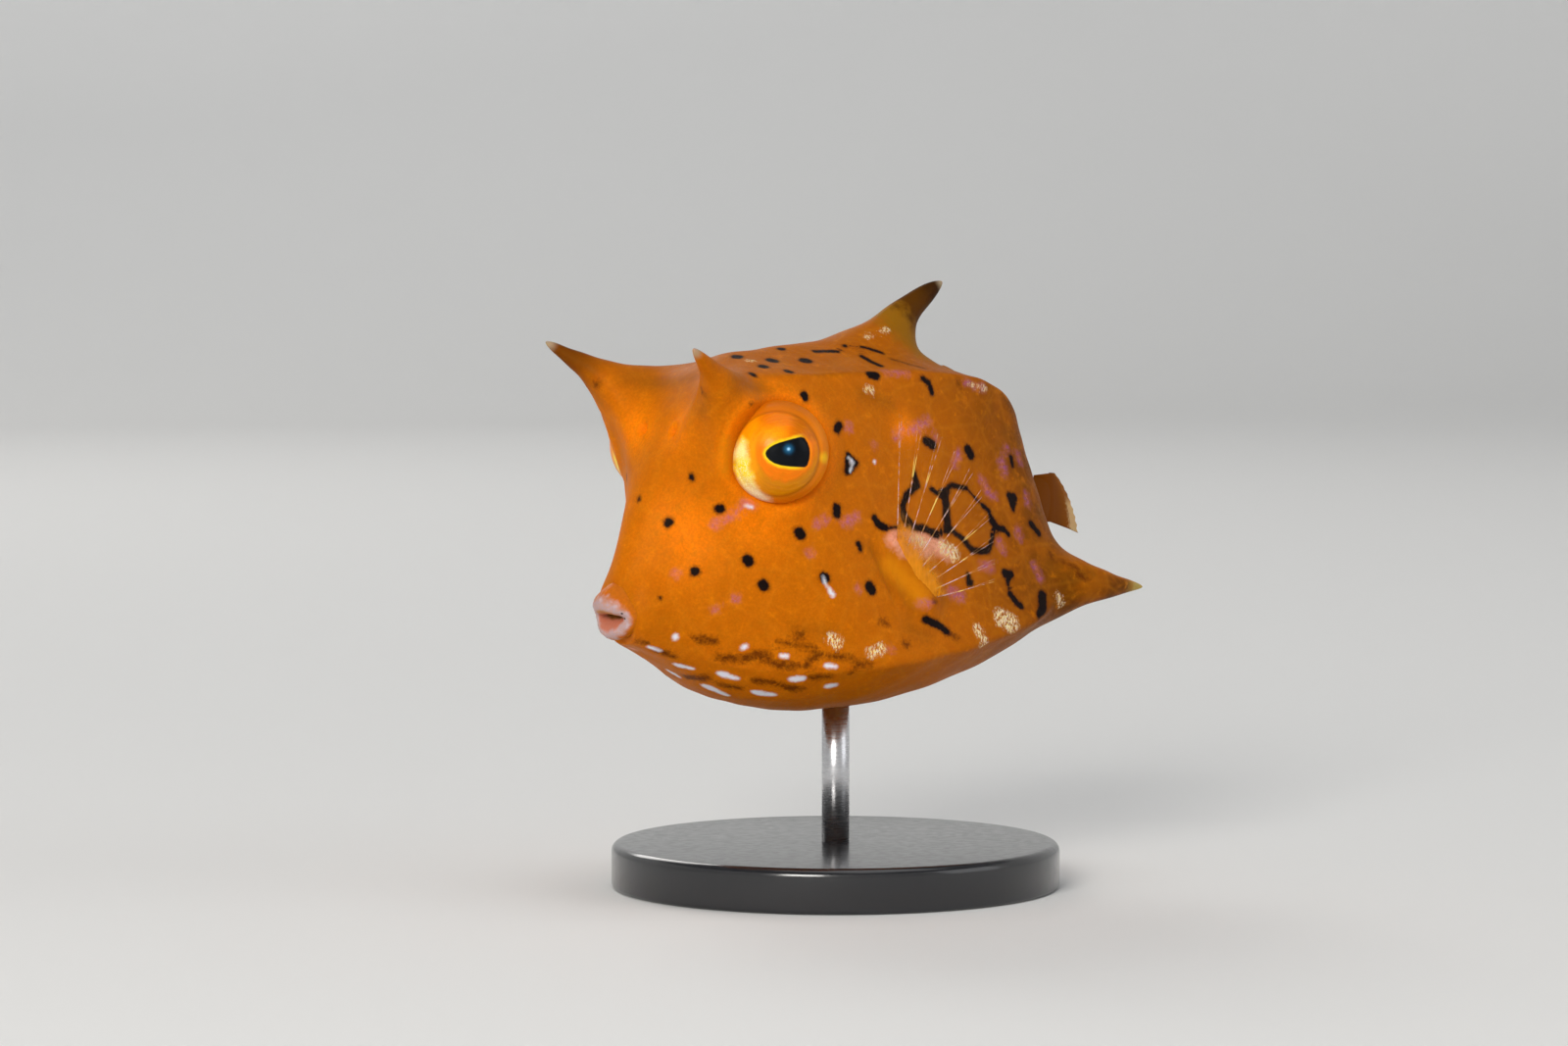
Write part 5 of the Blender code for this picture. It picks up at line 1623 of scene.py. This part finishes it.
def fin_sheet(name, plan, carry, thick_foot, thin_at, scallop, seat):
    """The skin of a fin as one closed thin body, seated that far under its root."""
    count = (len(plan[0]) - 1) * SHEET_BETWEEN + 1
    shares = [-seat, -seat / 2] + [k / SHEET_STEPS for k in range(SHEET_STEPS + 1)]
    middle = [[fin_place(plan, c / SHEET_BETWEEN, s, scallop) for s in shares]
              for c in range(count)]
    bm = bmesh.new()
    reach = bm.verts.layers.float.new("reach")
    rear = bm.verts.layers.float.new("rear")
    faces = ([], [])
    for c in range(count):
        before, after = middle[max(c - 1, 0)], middle[min(c + 1, count - 1)]
        for k, share in enumerate(shares):
            out = middle[c][min(k + 1, len(shares) - 1)] - middle[c][max(k - 1, 0)]
            normal = (after[k] - before[k]).cross(out).normalized()
            fade = max(0.0, min(1.0, share / thin_at))
            thick = thick_foot + (SHEET_THICK - thick_foot) * fade ** FADE_POWER
            if share > thin_at:
                rest = (share - thin_at) / (1 - thin_at)
                thick = SHEET_THICK + (EDGE_THICK - SHEET_THICK) * rest
            thick *= SIDE_SHARE + (1 - SIDE_SHARE) * math.sin(math.pi * c / (count - 1)) ** 0.5
            if k == 0:
                thick *= FOOT_POINT
            for row, way in ((faces[0], 0.5), (faces[1], -0.5)):
                v = bm.verts.new(carry(middle[c][k] + normal * way * thick))
                v[reach], v[rear] = share, float("pectoral" not in name)
                row.append(v)
    rows = len(shares)
    for c in range(count - 1):
        for k in range(rows - 1):
            i, j = c * rows + k, (c + 1) * rows + k
            bm.faces.new((faces[0][i], faces[0][j], faces[0][j + 1], faces[0][i + 1]))
            bm.faces.new((faces[1][i], faces[1][i + 1], faces[1][j + 1], faces[1][j]))
        for k in (0, rows - 1):
            i, j = c * rows + k, (c + 1) * rows + k
            bm.faces.new((faces[0][i], faces[0][j], faces[1][j], faces[1][i]))
    for c in (0, count - 1):
        for k in range(rows - 1):
            i = c * rows + k
            bm.faces.new((faces[0][i], faces[0][i + 1], faces[1][i + 1], faces[1][i]))
    bmesh.ops.recalc_face_normals(bm, faces=bm.faces)
    return mesh_of(name, bm)


def straight(point):
    """Leaves a point where it is."""
    return point


print("a sheet has", 2 * (SHEET_STEPS + 3), "points across each of its lines")

# %% [markdown]
# The skin of the fins is amber flesh at the foot and almost nothing at the edge. Real glass
# would be slow and dark this thin, so the sheet fades by its alpha, in streaks.

# %% Sheets: finish and pieces
FOOT_AMBER, REAR_FOOT, CLEAR_TINT = (0.76, 0.26, 0.003), (0.26, 0.072, 0.001), (0.95, 0.45, 0.14)
CLEAREST = 0.004

stuff, tree = new_material("fin_skin")
place = fish_place(tree)
cloud = noise(tree, place, 1.3, 2.0)
streak = noise(tree, stretched(tree, place, 6.0, 6.0, 0.8), 1.0, 2.0)
reach = field(tree, "reach")
colour = layered(
    tree, LOBE_AMBER,
    (ramp(tree, reach, -0.3, 0.1), FOOT_AMBER),
    (times(tree, field(tree, "rear"), 0.85), REAR_FOOT),
    (ramp(tree, reach, 0.15, 0.4), CLEAR_TINT))
fading = scaled(tree, cloud, 0.2, scaled(tree, streak, 0.16, reach))
close_material(tree, {
    "Base Color": colour, "Alpha": ramp(tree, fading, 0.14, 0.46, 1.0, CLEAREST),
    "Roughness": 0.4, "Specular IOR Level": 0.2, "Normal": bumped(tree, streak, 0.02, 0.3)})
FIN_FINISH = stuff

for name, plan in FINS.items():
    if name == TAIL_FIN:
        mesh = fin_sheet(name, plan, swung, TAIL_FOOT_THICK, TAIL_THIN_AT, TAIL_SCALLOP, TAIL_SEAT)
    else:
        mesh = fin_sheet(name, plan, straight, FOOT_THICK, THIN_AT, FIN_SCALLOP, SIDE_SEAT)
    finish = TAIL_FINISH if name == TAIL_FIN else FIN_FINISH
    add_piece(name + "_skin", mesh, finish, "fins", name)

# %% [markdown]
# Each ray is a path that stores a radius at its points. Modelling ninety-four tubes
# by hand would take a day, so one Geometry Nodes tree turns any set of such paths into
# tubes: mesh to curve, a circle swept along it at the stored radius, and the material.
# It takes the number of sides as an input.

# %% A tree that sweeps rays
RAY_SIDES = 6


def ray_tree(name, finish):
    """Geometry Nodes: paths with a stored radius in, tubes out."""
    group = bpy.data.node_groups.new(name, "GeometryNodeTree")
    group.interface.new_socket("Geometry", in_out="INPUT", socket_type="NodeSocketGeometry")
    count = group.interface.new_socket("Sides", in_out="INPUT", socket_type="NodeSocketInt")
    count.default_value = RAY_SIDES
    group.interface.new_socket("Geometry", in_out="OUTPUT", socket_type="NodeSocketGeometry")
    start, end = group.nodes.new("NodeGroupInput"), group.nodes.new("NodeGroupOutput")
    radius = node(group, "GeometryNodeInputNamedAttribute", {"Name": "thickness"},
                  data_type="FLOAT")
    curve = node(group, "GeometryNodeMeshToCurve", {"Mesh": start.outputs["Geometry"]})
    circle = node(group, "GeometryNodeCurvePrimitiveCircle",
                  {"Resolution": start.outputs["Sides"], "Radius": 1.0})
    tube = node(group, "GeometryNodeCurveToMesh",
                {"Curve": curve, "Profile Curve": circle, "Scale": radius, "Fill Caps": True})
    done = node(group, "GeometryNodeSetMaterial", {"Geometry": tube, "Material": finish})
    group.links.new(done, end.inputs["Geometry"])
    return group, count.identifier


def swept(name, paths, group, socket):
    """Runs the tree on paths of (point, radius) and gives a plain mesh."""
    bm = bmesh.new()
    thickness = bm.verts.layers.float.new("thickness")
    for path in paths:
        before = None
        for point, radius in path:
            v = bm.verts.new(point)
            v[thickness] = radius
            if before is not None:
                bm.edges.new((before, v))
            before = v
    thing = add_object(name + "_paths", mesh_of(name, bm))
    sweep = thing.modifiers.new("sweep", "NODES")
    sweep.node_group = group
    sweep[socket] = RAY_SIDES
    return applied(thing, name)


RAY_ORANGE, RAY_ROSE, RAY_GLINT = (0.92, 0.40, 0.06), (0.86, 0.62, 0.66), (1.0, 0.74, 0.16)

stuff, tree = new_material("fin_ray")
place = fish_place(tree)
grain = noise(tree, place, 3.0, 2.0)
glint = ramp(tree, noise(tree, place, 0.8, 1.0), 0.55, 0.68)
colour = layered(tree, RAY_ORANGE, (ramp(tree, grain, 0.42, 0.60), RAY_ROSE), (glint, RAY_GLINT))
clear = math_node(tree, "MAXIMUM", ramp(tree, grain, 0.35, 0.7, 0.09, 0.38),
                  times(tree, glint, 0.85))
close_material(tree, {"Base Color": colour, "Roughness": 0.25, "Specular IOR Level": 0.6,
                      "Alpha": clear})
RAY_FINISH = stuff
ray_group, sides_socket = ray_tree("sweep_rays", RAY_FINISH)
print("tree:", len(ray_group.nodes), "nodes")

# %% [markdown]
# A ray is drawn as two paths that lie together up to the fork and part beyond it. Where
# they lie together they are a hair apart, so that no two faces share one place.

# %% Rays
RAY_STEPS, RAY_SPLIT, RAY_SPREAD = 16, 0.45, 0.12
RAY_FOOT, RAY_END, RAY_THINNING, RAY_SCALE = 0.05, 0.011, 0.8, 0.9
RAY_REACH = 0.995         # rays end just inside the edge
HAIR = 0.004


def ray_paths(plan, carry):
    """Every ray as two paths that part at its fork, with the radius at each point."""
    paths = []
    last = len(plan[0]) - 1.0
    for i in range(len(plan[0])):
        for way in (-1, 1):
            path = []
            for k in range(RAY_STEPS + 1):
                share = k / RAY_STEPS
                apart = max(0.0, share - RAY_SPLIT) / (1 - RAY_SPLIT)
                across = min(max(i + way * RAY_SPREAD * apart, 0.0), last)
                radius = RAY_FOOT + (RAY_END - RAY_FOOT) * share ** RAY_THINNING
                point = carry(fin_place(plan, across, share * RAY_REACH))
                path.append((point + Vector((0, 0, way * HAIR)), radius * RAY_SCALE))
            paths.append(path)
    return paths


for name, plan in FINS.items():
    paths = ray_paths(plan, swung if name == TAIL_FIN else straight)
    mesh = swept(name + "_rays", paths, ray_group, sides_socket)
    add_piece(name + "_rays", mesh, TAIL_FINISH if name == TAIL_FIN else RAY_FINISH, "fins")

# %% [markdown]
# ## The stand
#
# A swimming fish needs something to hold it. The stand is plain: a turned black acrylic
# foot with a soft edge and a steel rod that enters both foot and belly. Both are spun
# profiles. The rod runs a little further in at each end than its solid does, so that no
# gap shows.

# %% Stand
BASE_RADIUS, BASE_THICK, BASE_EDGE = 13.0, 2.6, 0.5
ROD_RADIUS, ROD_SHOWN, ROD_HELD = 0.8, 8.0, 1.5
EDGE_STEPS, FOOT_SIDES, PIN_SIDES = 8, 128, 48


def rounded_edge(radius, height, size, up):
    """Points of a quarter circle at the upper or lower rim of a disc."""
    ways = [(math.cos(a), math.sin(a)) for a in np.linspace(0, math.pi / 2, EDGE_STEPS)]
    if up:
        return [(radius - size + size * c, height - size + size * s) for c, s in ways]
    return [(radius - size + size * s, height + size - size * c) for c, s in ways]


def turned(name, profile, sides):
    """A mesh turned from its profile, in millimetres over the floor."""
    bm = spun(profile, sides)
    bmesh.ops.recalc_face_normals(bm, faces=bm.faces)
    return mesh_of(name, bm)


FLOOR_POINT = (0.0, 0.0, 0.0)
ACRYLIC, STEEL = (0.012, 0.012, 0.014, 1.0), (0.62, 0.62, 0.64, 1.0)

stuff, tree = new_material("black_acrylic")
grain = noise(tree, fish_place(tree), 2.0, 4.0)
close_material(tree, {
    "Base Color": ACRYLIC, "Roughness": ramp(tree, grain, 0.3, 0.7, 0.16, 0.26),
    "Normal": bumped(tree, grain, 0.006, 0.3), "Coat Weight": 0.4, "Coat Roughness": 0.08})
profile = [(0.0, 0.0)] + rounded_edge(BASE_RADIUS, 0.0, BASE_EDGE * 0.5, False)
profile += rounded_edge(BASE_RADIUS, BASE_THICK, BASE_EDGE, True) + [(0.0, BASE_THICK)]
add_piece("stand_foot", turned("stand_foot", profile, FOOT_SIDES), stuff, "base",
          "stand_base", start=FLOOR_POINT)

stuff, tree = new_material("brushed_steel")
brushing = noise(tree, stretched(tree, fish_place(tree), 0.6, 0.6, 22.0), 1.0, 3.0)
close_material(tree, {
    "Base Color": STEEL, "Metallic": 1.0, "Roughness": ramp(tree, brushing, 0.3, 0.7, 0.24, 0.34),
    "Normal": bumped(tree, brushing, 0.004, 0.3)})
foot, top = BASE_THICK - ROD_HELD, BASE_THICK + ROD_SHOWN + ROD_HELD
profile = [(0.0, foot), (ROD_RADIUS, foot), (ROD_RADIUS, top), (0.0, top)]
add_piece("stand_pin", turned("stand_pin", profile, PIN_SIDES), stuff, "rod",
          "stand_rod", start=FLOOR_POINT)
